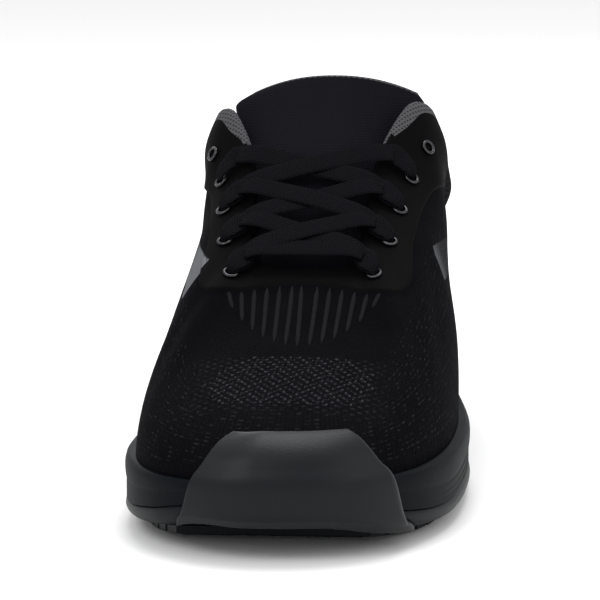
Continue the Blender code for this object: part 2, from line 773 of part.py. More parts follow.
def make_lace(paint):
    """Flat lace: a straight bar at the foot and three crossings, one joined solid."""
    rows = [FIRST_ROW + ROW_STEP * i for i in range(LACED_ROWS)]
    bm = bmesh.new()
    made = {}

    def corner(distance, across):
        key = (round(distance, 6), round(across, 6))
        if key not in made:
            p, up = lace_point(distance, across)
            made[key] = (bm.verts.new(p + up * LACE_THICKNESS), bm.verts.new(p))
        return made[key]

    def patch(corners):
        pairs = [corner(*c) for c in corners]
        faces.append(pairs)

    faces = []
    slope = math.atan2(ROW_STEP, 2.0 * LACE_SPAN)
    tall = LACE_WIDTH / 2.0 / math.cos(slope)
    wide = LACE_WIDTH / 2.0 / math.sin(slope) / LACE_SPAN
    wide = min(wide, 0.46)
    for r, (low, high) in enumerate(zip(rows, rows[1:])):
        cross = (low + high) / 2.0
        patch([(cross - tall, 0.0), (cross, wide), (cross + tall, 0.0), (cross, -wide)])
        for s in (-1.0, 1.0):
            patch([(cross + tall, 0.0), (cross, s * wide), (high - tall, s), (high, s * (1.0 - wide))])
            if r == 0:
                patch([(low - tall, 0.0), (low - tall, s * 0.54), (low - tall, s), (low + tall, s),
                       (cross, s * wide), (cross - tall, 0.0)])
            else:
                patch([(cross - tall, 0.0), (cross, s * wide), (low + tall, s), (low, s * (1.0 - wide))])
            if r > 0:
                patch([(low, s * (1.0 - wide)), (low - tall, s), (low + tall, s)])
    top = rows[-1]
    for s in (-1.0, 1.0):
        patch([(top, s * (1.0 - wide)), (top - tall, s), (top + tall, s)])
    edges = {}
    for pairs in faces:
        tops = [p[0] for p in pairs]
        area = sum((a.co.x * b.co.y - b.co.x * a.co.y) for a, b in zip(tops, tops[1:] + tops[:1]))
        if area < 0:
            pairs = pairs[::-1]
            tops = tops[::-1]
        bm.faces.new(tops)
        bm.faces.new([p[1] for p in reversed(pairs)])
        for a, b in zip(pairs, pairs[1:] + pairs[:1]):
            key = (a[0], b[0])
            if (b[0], a[0]) in edges:
                del edges[(b[0], a[0])]
            else:
                edges[key] = (a, b)
    for a, b in edges.values():
        bm.faces.new((a[0], a[1], b[1], b[0]))
    bmesh.ops.triangulate(bm, faces=bm.faces)
    return new_object("lace", bm, paint)


def make_eyelet(row, side, paint):
    """A small flat ring sunk in its place on the eyestay, clear of the skin."""
    way = way_at(FIRST_ROW + ROW_STEP * row)
    climb = from_edge(way, side, EYELET_EDGE)
    place = skin_point(way, side, climb, SKIN_CLEARANCE)
    up = wall_normal(way, side, climb)
    along = up.cross(Vector((1.0, 0.0, 0.0))).normalized()
    aside = up.cross(along)
    rings = []
    for i in range(12):
        angle = 2.0 * math.pi * i / 12
        out = along * math.cos(angle) + aside * math.sin(angle)
        rings.append([
            place + out * EYELET_BORE,
            place + out * EYELET_RADIUS,
            place + out * EYELET_RADIUS * 0.92 + up * EYELET_HEIGHT,
            place + out * EYELET_BORE * 1.08 + up * EYELET_HEIGHT,
        ])
    name = f"eyelet_{'outer' if side > 0 else 'inner'}_{row + 1}"
    return new_object(name, tube_mesh(rings), paint, 30.0)


def stand_on_origin():
    """Moves the whole shoe so that the middle of its footprint lies at the origin, on the floor."""
    shoes = [thing for thing in bpy.data.objects if thing.type == "MESH"]
    points = [v.co for thing in shoes for v in thing.data.vertices]
    low = Vector([min(p[i] for p in points) for i in range(3)])
    high = Vector([max(p[i] for p in points) for i in range(3)])
    middle = (low + high) / 2.0
    for thing in shoes:
        thing.data.transform(Matrix.Translation((-middle.x, -middle.y, -low.z)))


def main():
    for thing in list(bpy.data.objects):
        bpy.data.objects.remove(thing, do_unlink=True)
    rubber = material("rubber", (0.030, 0.034, 0.040), 0.42)
    foam = material("foam", (0.045, 0.048, 0.054), 0.50)
    gloss = material("gloss_clip", (0.020, 0.022, 0.026), 0.22, 0.4)
    knit = material("knit", (0.020, 0.020, 0.024), 0.85)
    smooth = material("smooth_strip", (0.018, 0.018, 0.020), 0.60)
    lining = material("lining", (0.10, 0.10, 0.11), 0.90)
    webbing = material("webbing", (0.015, 0.015, 0.018), 0.70)
    metal = material("eyelet_metal", (0.30, 0.30, 0.32), 0.35)
    make_outsole(rubber)
    make_midsole(foam)
    make_clip(gloss)
    make_bumper(rubber)
    make_upper(knit)
    make_strip("heel_strip_low", smooth, 0.20, 0.60, 0.062, 0.050)
    make_strip("heel_strip_top", smooth, 0.612, 0.96, 0.042, 0.034)
    make_tongue(knit)
    make_insole(lining)
    make_lace(webbing)
    for row in range(EYELET_ROWS):
        for side in (-1.0, 1.0):
            make_eyelet(row, side, metal)
    stand_on_origin()


main()
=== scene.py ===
import math
from bisect import bisect_right

import bmesh
import bpy
from mathutils import Matrix, Vector
from mathutils.bvhtree import BVHTree


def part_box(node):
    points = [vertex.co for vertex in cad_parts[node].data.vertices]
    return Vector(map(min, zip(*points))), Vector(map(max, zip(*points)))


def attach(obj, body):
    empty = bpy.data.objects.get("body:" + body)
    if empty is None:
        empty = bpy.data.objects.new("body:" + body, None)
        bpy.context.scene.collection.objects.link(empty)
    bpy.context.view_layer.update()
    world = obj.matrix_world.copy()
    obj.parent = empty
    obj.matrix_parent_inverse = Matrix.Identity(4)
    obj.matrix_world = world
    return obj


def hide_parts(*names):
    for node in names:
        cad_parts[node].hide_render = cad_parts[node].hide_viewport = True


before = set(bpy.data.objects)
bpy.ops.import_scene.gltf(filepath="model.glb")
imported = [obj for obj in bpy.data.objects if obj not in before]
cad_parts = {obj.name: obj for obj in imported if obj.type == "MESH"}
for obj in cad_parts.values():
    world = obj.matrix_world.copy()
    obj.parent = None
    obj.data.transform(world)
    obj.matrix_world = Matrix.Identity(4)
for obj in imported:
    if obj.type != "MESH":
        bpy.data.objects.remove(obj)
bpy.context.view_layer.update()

# Sizes of the shoe in metres; the middle of its footprint's box is the origin
shoe = {
    "length": 0.300,
    "ballWidth": 0.1135,
    "heelWidth": 0.0865,
    "toeOffset": 0.006,
    "collarWidth": 0.091,
    "collarHeight": 0.128,
    "outerRise": (0.0015, 0.60, 0.10),
    "heelHeight": 0.034,
    "forefootHeight": 0.025,
    "toeSpring": 0.009,
    "lugHeight": 0.0026,
    "outsoleThickness": 0.0065,
    "grooveDepth": 0.0009,
    "toeUndercut": 0.0065,
    "upperWall": 0.0025,
    "collarPad": 0.0085,
    "eyestayStep": 0.0010,
    "upperInset": 0.0036,
    "toeInset": 0.0008,
    "clearance": 0.0003,
    "toeRound": (0.25, 2.35),
    "heelRound": (0.17, 2.25),
    "outlineSteps": 1600,
    "crowding": 0.35,
    "throatSwing": (0.4, 0.64),
    "collarRoll": (0.0016, 0.86, 0.10, 0.66, 0.09),
    "padClimb": (0.60, 0.86),
    "padEdge": (0.45, 0.10),
    "insetWays": (0.10, 0.26),
    "seamWidth": 0.012,
    "wallLength": 0.10,
}

# share of length from the toe, half width and middle line as shares of the ball width
plan = (
    (0.00, 0.470, -0.010),
    (0.12, 0.482, -0.006),
    (0.30, 0.500, 0.004),
    (0.42, 0.482, 0.014),
    (0.56, 0.418, 0.024),
    (0.68, 0.390, 0.014),
    (0.82, 0.384, 0.002),
    (1.00, 0.376, 0.000),
)

# share of length, toe spring, arch rise, height of the midsole's top from forefoot to heel
liftTable = (
    (0.00, 1.00, 0.0, 0.12),
    (0.06, 0.52, 0.0, 0.06),
    (0.13, 0.14, 0.0, 0.02),
    (0.20, 0.00, 0.0, 0.00),
    (0.42, 0.00, 0.0, 0.10),
    (0.52, 0.00, 0.9, 0.42),
    (0.62, 0.00, 0.9, 0.72),
    (0.70, 0.00, 0.0, 0.90),
    (0.94, 0.00, 0.0, 1.00),
    (1.00, 0.22, 0.0, 1.04),
)

# edge of throat and collar: way round, share of length, half width, height
opening = (
    (0.00, 0.417, 0.000, 0.594),
    (0.10, 0.417, 0.112, 0.595),
    (0.20, 0.428, 0.200, 0.608),
    (0.30, 0.470, 0.222, 0.668),
    (0.40, 0.537, 0.238, 0.770),
    (0.50, 0.600, 0.278, 0.886),
    (0.58, 0.650, 0.376, 0.988),
    (0.63, 0.686, 0.440, 0.972),
    (0.70, 0.735, 0.476, 0.878),
    (0.77, 0.795, 0.496, 0.796),
    (0.83, 0.853, 0.474, 0.808),
    (0.89, 0.906, 0.396, 0.896),
    (0.94, 0.938, 0.264, 0.926),
    (0.97, 0.953, 0.138, 0.900),
    (1.00, 0.960, 0.000, 0.885),
)

# handles of the wall's curve: way round, lower rise and push, upper reach, drop and push
fullness = (
    (0.00, 0.180, -0.035, 0.40, 0.215, 0.000),
    (0.12, 0.190, -0.022, 0.40, 0.200, 0.000),
    (0.25, 0.242, 0.000, 0.42, 0.120, 0.046),
    (0.38, 0.273, 0.000, 0.36, 0.125, 0.138),
    (0.50, 0.312, 0.006, 0.25, 0.156, 0.184),
    (0.58, 0.320, 0.012, 0.12, 0.203, 0.172),
    (0.70, 0.219, 0.023, 0.00, 0.210, 0.060),
    (0.80, 0.156, 0.034, 0.00, 0.140, 0.014),
    (0.90, 0.188, 0.040, 0.00, 0.172, 0.040),
    (1.00, 0.219, 0.034, 0.00, 0.172, 0.046),
)

# way round, climb of the eyestay's seam, share of its step, share of the collar's pad
panels = (
    (0.00, 0.95, 1.0, 0.00),
    (0.12, 0.93, 1.0, 0.00),
    (0.20, 0.86, 1.0, 0.00),
    (0.30, 0.69, 1.0, 0.00),
    (0.40, 0.74, 1.0, 0.00),
    (0.52, 0.70, 1.0, 0.08),
    (0.60, 0.64, 1.0, 0.32),
    (0.68, 0.70, 0.0, 1.00),
    (1.00, 0.70, 0.0, 1.00),
)


def readTable(rows, share, column, flatEnds=True):  # smooth curve through a column
    share = min(max(share, rows[0][0]), rows[-1][0])
    i = 0
    while i < len(rows) - 2 and share > rows[i + 1][0]:
        i += 1
    slopes = []
    for k in (i, i + 1):
        before = rows[max(k - 1, 0)]
        after = rows[min(k + 1, len(rows) - 1)]
        still = flatEnds and k in (0, len(rows) - 1)
        slopes.append(0.0 if still else (after[column] - before[column]) / (after[0] - before[0]))
    a, b = rows[i], rows[i + 1]
    width = b[0] - a[0]
    k = (share - a[0]) / width
    value = (2 * k**3 - 3 * k**2 + 1) * a[column] + (k**3 - 2 * k**2 + k) * width * slopes[0]
    return value + (3 * k**2 - 2 * k**3) * b[column] + (k**3 - k**2) * width * slopes[1]


def smoothStep(low, high, value):
    k = min(max((value - low) / (high - low), 0.0), 1.0)
    return k * k * (3.0 - 2.0 * k)


def bell(value, centre, spread):
    return math.exp(-(((value - centre) / spread) ** 2))


def halving(low, high, rounds, under):  # closes in on the place where under(value) ends
    for _ in range(rounds):
        middle = (low + high) / 2.0
        if under(middle):
            low = middle
        else:
            high = middle
    return low


def roundEnd(distance, length, power):
    if distance >= length:
        return 1.0
    rest = 1.0 - max(distance, 0.0) / length
    return max(1.0 - rest**power, 0.0) ** (1.0 / power)


def planPoint(share, side):
    ends = roundEnd(share, *shoe["toeRound"]) * roundEnd(1.0 - share, *shoe["heelRound"])
    taper = min(max((share - 0.5) / 0.3, 0.0), 1.0)
    wide = shoe["ballWidth"] + taper * (shoe["heelWidth"] / 0.7625 - shoe["ballWidth"])
    middle = readTable(plan, share, 2) * shoe["ballWidth"]
    swing = shoe["toeOffset"] * max(1.0 - share / 0.45, 0.0) ** 1.5
    across = middle - swing + side * readTable(plan, share, 1) * wide * ends
    return Vector((across, shoe["length"] * (share - 0.5), 0.0))


def denseOutline(side):
    steps = shoe["outlineSteps"]
    points = [planPoint((1.0 - math.cos(math.pi * i / steps)) / 2.0, side) for i in range(steps + 1)]
    run = [0.0]
    for a, b in zip(points, points[1:]):
        run.append(run[-1] + (b - a).length)
    return points, run


outlines = {side: denseOutline(side) for side in (1.0, -1.0)}
soleRun = {side: outlines[side][1][-1] for side in outlines}


def outlineAt(way, side):  # point of the sole's edge and its outward direction
    points, run = outlines[side]
    want = min(max(way, 0.0), 1.0) * run[-1]
    low = min(bisect_right(run, want), len(run) - 1) - 1
    high = low + 1
    k = (want - run[low]) / max(run[high] - run[low], 1e-9)
    a = points[max(low - 6, 0)]
    b = points[min(high + 6, len(points) - 1)]
    if low < 6:
        a = Vector((2 * points[0].x - points[6 - low].x, points[6 - low].y, 0.0))
    if high > len(points) - 7:
        over = points[2 * len(points) - 2 - high - 6]
        b = Vector((2 * points[-1].x - over.x, over.y, 0.0))
    along = (b - a).normalized() * side
    return points[low].lerp(points[high], k), Vector((along.y, -along.x, 0.0))


def lengthShare(point):
    return point.y / shoe["length"] + 0.5


def underside(share):
    spring = max(readTable(liftTable, share, 1), 0.0) * shoe["toeSpring"]
    arch = max(readTable(liftTable, share, 2), 0.0) * shoe["lugHeight"]
    return shoe["lugHeight"] + spring + arch


def midsoleTop(share):
    climb = shoe["heelHeight"] - shoe["forefootHeight"]
    return shoe["forefootHeight"] + readTable(liftTable, share, 3) * climb


def insetAt(way):
    return shoe["toeInset"] + (shoe["upperInset"] - shoe["toeInset"]) * smoothStep(*shoe["insetWays"], way)


# Soft troughs and swells of the cloth: way round (inner side negative), climb, length and
# width in metres, turn in degrees, depth in metres (inwards positive)
creases = (
    (0.27, 0.60, 0.034, 0.008, 62, 0.0011),
    (-0.26, 0.58, 0.036, 0.009, -60, 0.0012),
    (0.34, 0.42, 0.040, 0.010, 35, 0.0009),
    (-0.35, 0.40, 0.042, 0.011, -32, 0.0010),
    (0.17, 0.63, 0.030, 0.010, 80, 0.0007),
    (-0.17, 0.62, 0.028, 0.010, -80, 0.0007),
    (0.66, 0.52, 0.030, 0.010, -50, 0.0012),
    (-0.66, 0.50, 0.032, 0.011, 48, 0.0013),
    (0.74, 0.66, 0.026, 0.008, -20, 0.0010),
    (-0.73, 0.66, 0.026, 0.008, 22, 0.0010),
    (0.50, 0.30, 0.050, 0.014, 10, -0.0009),
    (-0.50, 0.32, 0.050, 0.014, -10, -0.0009),
    (0.84, 0.45, 0.030, 0.012, 5, -0.0007),
    (-0.84, 0.45, 0.030, 0.012, -5, -0.0007),
)


def wallPoint(way, side, climb):  # outer face of the upper, 0 at the sole and 1 at the edge
    rim, outward = outlineAt(way, side)
    foot = rim - outward * insetAt(way)
    foot.z = midsoleTop(lengthShare(rim)) + shoe["clearance"]
    swing, swingEnd = shoe["throatSwing"]
    throat = shoe["toeOffset"] * swing * max(1.0 - (way / swingEnd) ** 4, 0.0)
    edge = Vector((
        side * readTable(opening, way, 2, False) * shoe["collarWidth"] - throat,
        shoe["length"] * (readTable(opening, way, 1) - 0.5),
        readTable(opening, way, 3) * shoe["collarHeight"],
    ))
    outer, centre, spread = shoe["outerRise"]
    edge.z += side * outer * bell(way, centre, spread)
    level = Vector((foot.x - edge.x, foot.y - edge.y, 0.0))
    up = Vector((0.0, 0.0, shoe["collarHeight"]))
    aside = outward * shoe["collarWidth"]
    rise, push, reach, drop, shove = (readTable(fullness, way, i) for i in range(1, 6))
    low = foot + up * rise + aside * push
    high = edge + level * reach - up * drop + aside * shove
    k = climb
    point = foot * (1 - k) ** 3 + low * 3 * k * (1 - k) ** 2 + high * 3 * k * k * (1 - k) + edge * k**3
    size, crest, crestSpread, dip, dipSpread = shoe["collarRoll"]
    roll = readTable(panels, way, 3) * size
    return point + outward * roll * (bell(k, crest, crestSpread) - bell(k, dip, dipSpread))


def wallNormal(way, side, climb):
    step = 0.004
    up = wallPoint(way, side, min(climb + step, 1.0)) - wallPoint(way, side, max(climb - step, 0.0))
    if way < step:
        along = wallPoint(step, 1.0, climb) - wallPoint(step, -1.0, climb)
    elif way > 1.0 - step:
        along = wallPoint(1.0 - step, -1.0, climb) - wallPoint(1.0 - step, 1.0, climb)
    else:
        along = (wallPoint(way + step, side, climb) - wallPoint(way - step, side, climb)) * side
    return along.cross(up).normalized()


def creaseDepth(way, side, climb):  # how far the cloth stands in at a place
    depth = 0.0
    for at, height, length, width, turn, deep in creases:
        if (at > 0) != (side > 0):
            continue
        a = (way - abs(at)) * soleRun[side]
        b = (climb - height) * shoe["wallLength"]
        angle = math.radians(abs(turn)) if turn * side > 0 else -math.radians(abs(turn))
        along = a * math.cos(angle) + b * math.sin(angle)
        aside = b * math.cos(angle) - a * math.sin(angle)
        depth += deep * math.exp(-((along / length) ** 2) - ((aside / width) ** 2))
    return depth


def seamClimb(way):
    return readTable(panels, way, 1)


def eyestayRise(way, climb):
    edge = smoothStep(0.0, shoe["seamWidth"], climb - seamClimb(way))
    return shoe["eyestayStep"] * readTable(panels, way, 2) * edge


def skinPoint(way, side, climb, off=0.0):
    fade = smoothStep(0.0, 0.12, climb) * smoothStep(1.0, 0.92, climb) if climb < 1.0 else 0.0
    lifted = off + eyestayRise(way, climb) - creaseDepth(way, side, climb) * fade
    return wallPoint(way, side, climb) + wallNormal(way, side, climb) * lifted


def wallDepth(way, climb):
    pad = readTable(panels, way, 3) * shoe["collarPad"]
    least, reach = shoe["padEdge"]
    end = min(max((1.0 - climb) / reach, 0.0), 1.0)
    return shoe["upperWall"] + pad * smoothStep(*shoe["padClimb"], climb) * (least + (1.0 - least) * end)


def roundTrip(columns):  # (way, side) from the toe along the outer side and back, crowded at the ends
    ways = []
    for c in range(columns + 1):
        t = c / columns
        ways.append(t - shoe["crowding"] * math.sin(2.0 * math.pi * t) / (2.0 * math.pi))
    return [(w, 1.0) for w in ways] + [(w, -1.0) for w in ways[-2:0:-1]]


# The maker's frame stands a little off the origin: the midsole's box gives the shift
soleLow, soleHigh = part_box("midsole")
mine = [outlineAt(w, s)[0] + outlineAt(w, s)[1] * 0.6 * shoe["grooveDepth"] for w, s in roundTrip(240)]
shift = Vector((
    (soleLow[0] + soleHigh[0] - min(p.x for p in mine) - max(p.x for p in mine)) / 2.0,
    (soleLow[1] + soleHigh[1] - min(p.y for p in mine) - max(p.y for p in mine)) / 2.0,
    0.0,
))
print("shift of the frame in mm", [round(v * 1000, 2) for v in shift])


def addObject(name, data):
    thing = bpy.data.objects.new(name, data)
    bpy.context.scene.collection.objects.link(thing)
    return thing


def finishMesh(name, bm, slots):  # bmesh to an object in its place in the frame
    bmesh.ops.recalc_face_normals(bm, faces=bm.faces)
    mesh = bpy.data.meshes.new(name)
    bm.to_mesh(mesh)
    bm.free()
    mesh.transform(Matrix.Translation(shift))
    mesh.shade_smooth()
    for slot in slots:
        mesh.materials.append(slot)
    return addObject(name, mesh)


def bandMesh(bm, rings):  # joins closed rings of equal length into one band
    grid = [[bm.verts.new(p) for p in ring] for ring in rings]
    for a, b in zip(grid, grid[1:]):
        for j in range(len(a)):
            n = (j + 1) % len(a)
            bm.faces.new((a[j], a[n], b[n], b[j]))
    return grid


def cappedBand(name, rings, slots):  # rings of the sole's outline, closed below and above
    bm = bmesh.new()
    grid = bandMesh(bm, rings)
    for ring in (grid[0], grid[-1]):
        half = len(ring) // 2
        bm.faces.new((ring[1], ring[0], ring[-1]))
        for i in range(1, half - 1):
            bm.faces.new((ring[i], ring[-i], ring[-i - 1], ring[i + 1]))
        bm.faces.new((ring[half - 1], ring[-half + 1], ring[half]))
    return finishMesh(name, bm, slots)


def addNode(tree, kind, settings, inputs):  # a value is a Signal, a socket or a plain value
    made = tree.nodes.new(kind)
    for key, value in (settings or {}).items():
        setattr(made, key, value)
    for key, value in (inputs or {}).items():
        value = value.socket if isinstance(value, Signal) else value
        if isinstance(value, bpy.types.NodeSocket):
            tree.links.new(value, made.inputs[key])
        else:
            made.inputs[key].default_value = value
    return made


# Shader maths: a Signal wraps one socket, and a sum or product of Signals adds its Math node
class Signal:
    def __init__(self, finish, socket):
        self.finish = finish
        self.socket = socket

    def __add__(self, other):
        return self.finish.maths("ADD", self, other)

    def __radd__(self, other):
        return self.finish.maths("ADD", other, self)

    def __sub__(self, other):
        return self.finish.maths("SUBTRACT", self, other)

    def __rsub__(self, other):
        return self.finish.maths("SUBTRACT", other, self)

    def __mul__(self, other):
        return self.finish.maths("MULTIPLY", self, other)

    def __rmul__(self, other):
        return self.finish.maths("MULTIPLY", other, self)

    def __pow__(self, other):
        return self.finish.maths("POWER", self, other)


class Finish:  # one material and the few calls that its nodes need
    def __init__(self, name, **fixed):
        self.material = bpy.data.materials.new(name)
        self.material.use_nodes = True
        self.tree = self.material.node_tree
        self.shader = self.tree.nodes["Principled BSDF"]
        for socket, value in fixed.items():
            self.shader.inputs[socket.replace("_", " ")].default_value = value

    def node(self, kind, settings=None, inputs=None, output=0):
        return Signal(self, addNode(self.tree, kind, settings, inputs).outputs[output])

    def place(self):
        return self.node("ShaderNodeTexCoord", output="Object")

    def attribute(self, name):
        return self.node("ShaderNodeAttribute", {"attribute_name": name}, output="Fac")

    def axes(self, vector):
        return [self.node("ShaderNodeSeparateXYZ", None, {0: vector}, axis) for axis in "XYZ"]

    def maths(self, operation, *values):
        return self.node("ShaderNodeMath", {"operation": operation}, dict(enumerate(values)))

    def step(self, value, low, high):  # smooth from 0 at low to 1 at high
        limits = {"Value": value, "From Min": low, "From Max": high}
        return self.node("ShaderNodeMapRange", {"interpolation_type": "SMOOTHSTEP"}, limits)

    def noise(self, vector, scale, detail=3.0, roughness=0.5):
        inputs = {"Vector": vector, "Scale": scale, "Detail": detail, "Roughness": roughness}
        return self.node("ShaderNodeTexNoise", None, inputs)

    def wave(self, value, period, power=1.0):  # 0 to 1 and back over each period
        swing = self.maths("COSINE", value * (2.0 * math.pi / period)) * 0.5 + 0.5
        return swing if power == 1.0 else swing ** power

    def colours(self, factor, low, high):  # between two colours or colour Signals
        settings = {"data_type": "RGBA", "clamp_factor": True}
        return self.node("ShaderNodeMix", settings, {0: factor, 6: low, 7: high}, 2)

    def bump(self, height, distance, strength):
        inputs = {"Height": height, "Distance": distance, "Strength": strength}
        return self.node("ShaderNodeBump", None, inputs)

    def use(self, **links):
        for socket, value in links.items():
            self.tree.links.new(value.socket, self.shader.inputs[socket.replace("_", " ")])
        return self.material


def softened(profile, rounds=2):  # cuts the corners of a short profile, ends kept
    for _ in range(rounds):
        cut = [profile[0]]
        for a, b in zip(profile, profile[1:]):
            cut.append(tuple(x * 0.75 + y * 0.25 for x, y in zip(a, b)))
            cut.append(tuple(x * 0.25 + y * 0.75 for x, y in zip(a, b)))
        profile = cut + [profile[-1]]
    return profile


def gridDirections(rows, closed):  # outward direction at each point of a grid
    out = []
    for r, row in enumerate(rows):
        above = rows[min(r + 1, len(rows) - 1)]
        below = rows[max(r - 1, 0)]
        line = []
        for c in range(len(row)):
            after = (c + 1) % len(row) if closed else min(c + 1, len(row) - 1)
            before = (c - 1) % len(row) if closed else max(c - 1, 0)
            line.append((row[after] - row[before]).cross(above[c] - below[c]).normalized())
        out.append(line)
    return out


def writeAttribute(thing, name, values):
    layer = thing.data.attributes.new(name, "FLOAT", "POINT")
    layer.data.foreach_set("value", values)


def shellPiece(name, rows, directions, thickness, edge, gap, slots, blend=None):
    # a closed shell over a grid, its border rounded down to the edge's thickness and its
    # columns thinned by the shares of blend
    bm = bmesh.new()
    lastRow, lastColumn = len(rows) - 1, len(rows[0]) - 1
    near, far = [], []
    for r, row in enumerate(rows):
        low, high = [], []
        for c, p in enumerate(row):
            rim = min(min(r, lastRow - r) / 4.0, min(c, lastColumn - c) / 4.0, 1.0)
            full = (1.0 - (1.0 - rim) ** 2) ** 0.5 * (blend[c] if blend else 1.0)
            depth = edge + (thickness - edge) * full
            low.append(bm.verts.new(p + directions[r][c] * gap))
            high.append(bm.verts.new(p + directions[r][c] * (gap + depth)))
        near.append(low)
        far.append(high)
    for r in range(lastRow):
        for c in range(lastColumn):
            bm.faces.new((far[r][c], far[r][c + 1], far[r + 1][c + 1], far[r + 1][c]))
            bm.faces.new((near[r][c], near[r + 1][c], near[r + 1][c + 1], near[r][c + 1]))
    border = [(0, c) for c in range(lastColumn)] + [(r, lastColumn) for r in range(lastRow)]
    border += [(lastRow, c) for c in range(lastColumn, 0, -1)] + [(r, 0) for r in range(lastRow, 0, -1)]
    for (r, c), (s, d) in zip(border, border[1:] + border[:1]):
        bm.faces.new((near[r][c], near[s][d], far[s][d], far[r][c]))
    return finishMesh(name, bm, slots)


def curveThrough(points, steps):  # a smooth curve through points, steps to each span
    out = []
    for i in range(len(points) - 1):
        p0 = points[max(i - 1, 0)]
        p1, p2 = points[i], points[i + 1]
        p3 = points[min(i + 2, len(points) - 1)]
        for s in range(steps):
            k = s / steps
            a = p1 * 2.0 + (p2 - p0) * k + (p0 * 2.0 - p1 * 5.0 + p2 * 4.0 - p3) * k * k
            out.append((a + (p1 * 3.0 - p0 - p2 * 3.0 + p3) * k**3) * 0.5)
    return out + [points[-1]]


def patch(rows, columns, spot):  # grids of points and of directions from spot(row, column)
    made = [[spot(r, c) for c in range(columns + 1)] for r in range(rows + 1)]
    return [[p for p, out in line] for line in made], [[out for p, out in line] for line in made]


# Sole
sole = {
    "columns": 220,
    "midsoleSide": (
        (0.0, -1.0), (0.05, 0.0), (0.11, 0.0), (0.14, -1.0), (0.17, 0.0), (0.24, 0.0), (0.27, -1.0),
        (0.30, 0.0), (0.40, 0.0), (0.43, -1.0), (0.47, 0.2), (0.78, 0.6), (0.93, 0.0), (1.0, -1.4),
    ),
    "outsoleSide": ((0.0, -3.4), (0.22, -0.6), (0.50, 0.5), (0.82, 0.6), (1.0, -0.6)),
    "lugPitch": 0.0082,
    "lugGap": 0.0018,
    "lugsAcross": 6,
    "lugDraw": 3.4,
    "heelDraw": 0.006,
    "slant": 0.0021,
    "lugLevels": ((0.0, -0.0004), (0.0, 0.0021), (0.10, 0.0026)),
    "treadStart": 0.075,
    "treadEnd": 0.965,
    "treadBreak": (0.47, 0.645),
    "toeBars": 0.20,
    "insoleColumns": 110,
    "insoleThickness": 0.004,
    "insoleMargin": 0.0013,
    "insoleToe": 0.0030,
    "insoleLevels": ((0.0, 0.0), (0.7, 0.0), (0.9, 0.0004), (1.0, 0.0014)),
}


def outsoleTop(share):
    return underside(share) + shoe["outsoleThickness"]


def undercut(way, level):  # the outsole's wall draws in round the toe, most at its foot
    return shoe["toeUndercut"] * (1.0 - level) ** 1.6 * (1.0 - smoothStep(0.0, 0.36, way))


def soleRings(side, low, high, offset):  # rings up a side profile; offset(way, level, groove)
    rings = []
    for level, groove in softened(side):
        ring = []
        for w, s in roundTrip(sole["columns"]):
            p, outward = outlineAt(w, s)
            share = lengthShare(p)
            q = p + outward * offset(w, level, groove)
            q.z = low(share) + (high(share) - low(share)) * level
            ring.append(q)
        rings.append(ring)
    return rings


def makeMidsole(slots):
    def offset(way, level, groove):
        cut = groove < 0.0 and level < 0.94
        return groove * shoe["grooveDepth"] * (smoothStep(0.16, 0.46, way) if cut else 1.0)

    def foot(share):
        return outsoleTop(share) + shoe["clearance"]

    return cappedBand("midsole_dressed", soleRings(sole["midsoleSide"], foot, midsoleTop, offset), slots)


def makeOutsole(slots):
    def offset(way, level, groove):
        return groove * shoe["grooveDepth"] - undercut(way, level)

    return cappedBand("outsole_rubber", soleRings(sole["outsoleSide"], underside, outsoleTop, offset), slots)


def treadBlock(bm, start, pitch, block, across):
    gap = sole["lugGap"]
    corners = []
    for end, k in ((0, block), (0, block + 1), (1, block + 1), (1, block)):
        at = start + pitch * end + (0.5 - end) * gap / shoe["length"]
        draw = sole["lugDraw"] * shoe["grooveDepth"] + gap
        draw += shoe["toeUndercut"] * (1.0 - smoothStep(0.0, 0.30, at))
        draw += sole["heelDraw"] * smoothStep(0.90, 1.0, at)
        left, right = (planPoint(at, side).x - side * draw for side in (-1.0, 1.0))
        slant = sole["slant"] * math.sin(k / across * math.pi * 2.0)
        x = left + (right - left) * k / across + gap / 2.0 * (1.0 if k == block else -1.0)
        corners.append(Vector((x, shoe["length"] * (at - 0.5) + slant, at)))
    middle = sum(corners, Vector()) / 4.0
    loops = []
    for shrink, drop in sole["lugLevels"]:
        loop = []
        for c in corners:
            q = c.lerp(middle, shrink)
            q.z = max(underside(c.z) - drop, 0.0)
            loop.append(q)
        loops.append(loop)
    grid = bandMesh(bm, loops)
    bm.faces.new(grid[0])
    bm.faces.new(grid[-1][::-1])


def makeTread(slots):  # blocks in rows across the forefoot and the heel, bars under the toe
    bm = bmesh.new()
    start, pitch = sole["treadStart"], sole["lugPitch"] / shoe["length"]
    while start + pitch < sole["treadEnd"]:
        low, high = sole["treadBreak"]
        if not low < start + pitch / 2 < high:
            across = 1 if start < sole["toeBars"] else sole["lugsAcross"]
            for block in range(across):
                treadBlock(bm, start, pitch, block, across)
        start += pitch
    thing = finishMesh("tread_blocks", bm, slots)
    thing.data.set_sharp_from_angle(angle=math.radians(30))
    return thing


def makeInsole(slots):
    edge = shoe["upperWall"] + sole["insoleMargin"]
    rings = []
    for level, tuck in sole["insoleLevels"]:
        ring = []
        for w, s in roundTrip(sole["insoleColumns"]):
            p, outward = outlineAt(w, s)
            toe = max(1.0 - w / 0.20, 0.0) * sole["insoleToe"]
            q = p - outward * (insetAt(w) + edge + tuck + toe)
            q.z = midsoleTop(lengthShare(p)) + shoe["clearance"] + sole["insoleThickness"] * level
            ring.append(q)
        rings.append(ring)
    return cappedBand("footbed", rings, slots)


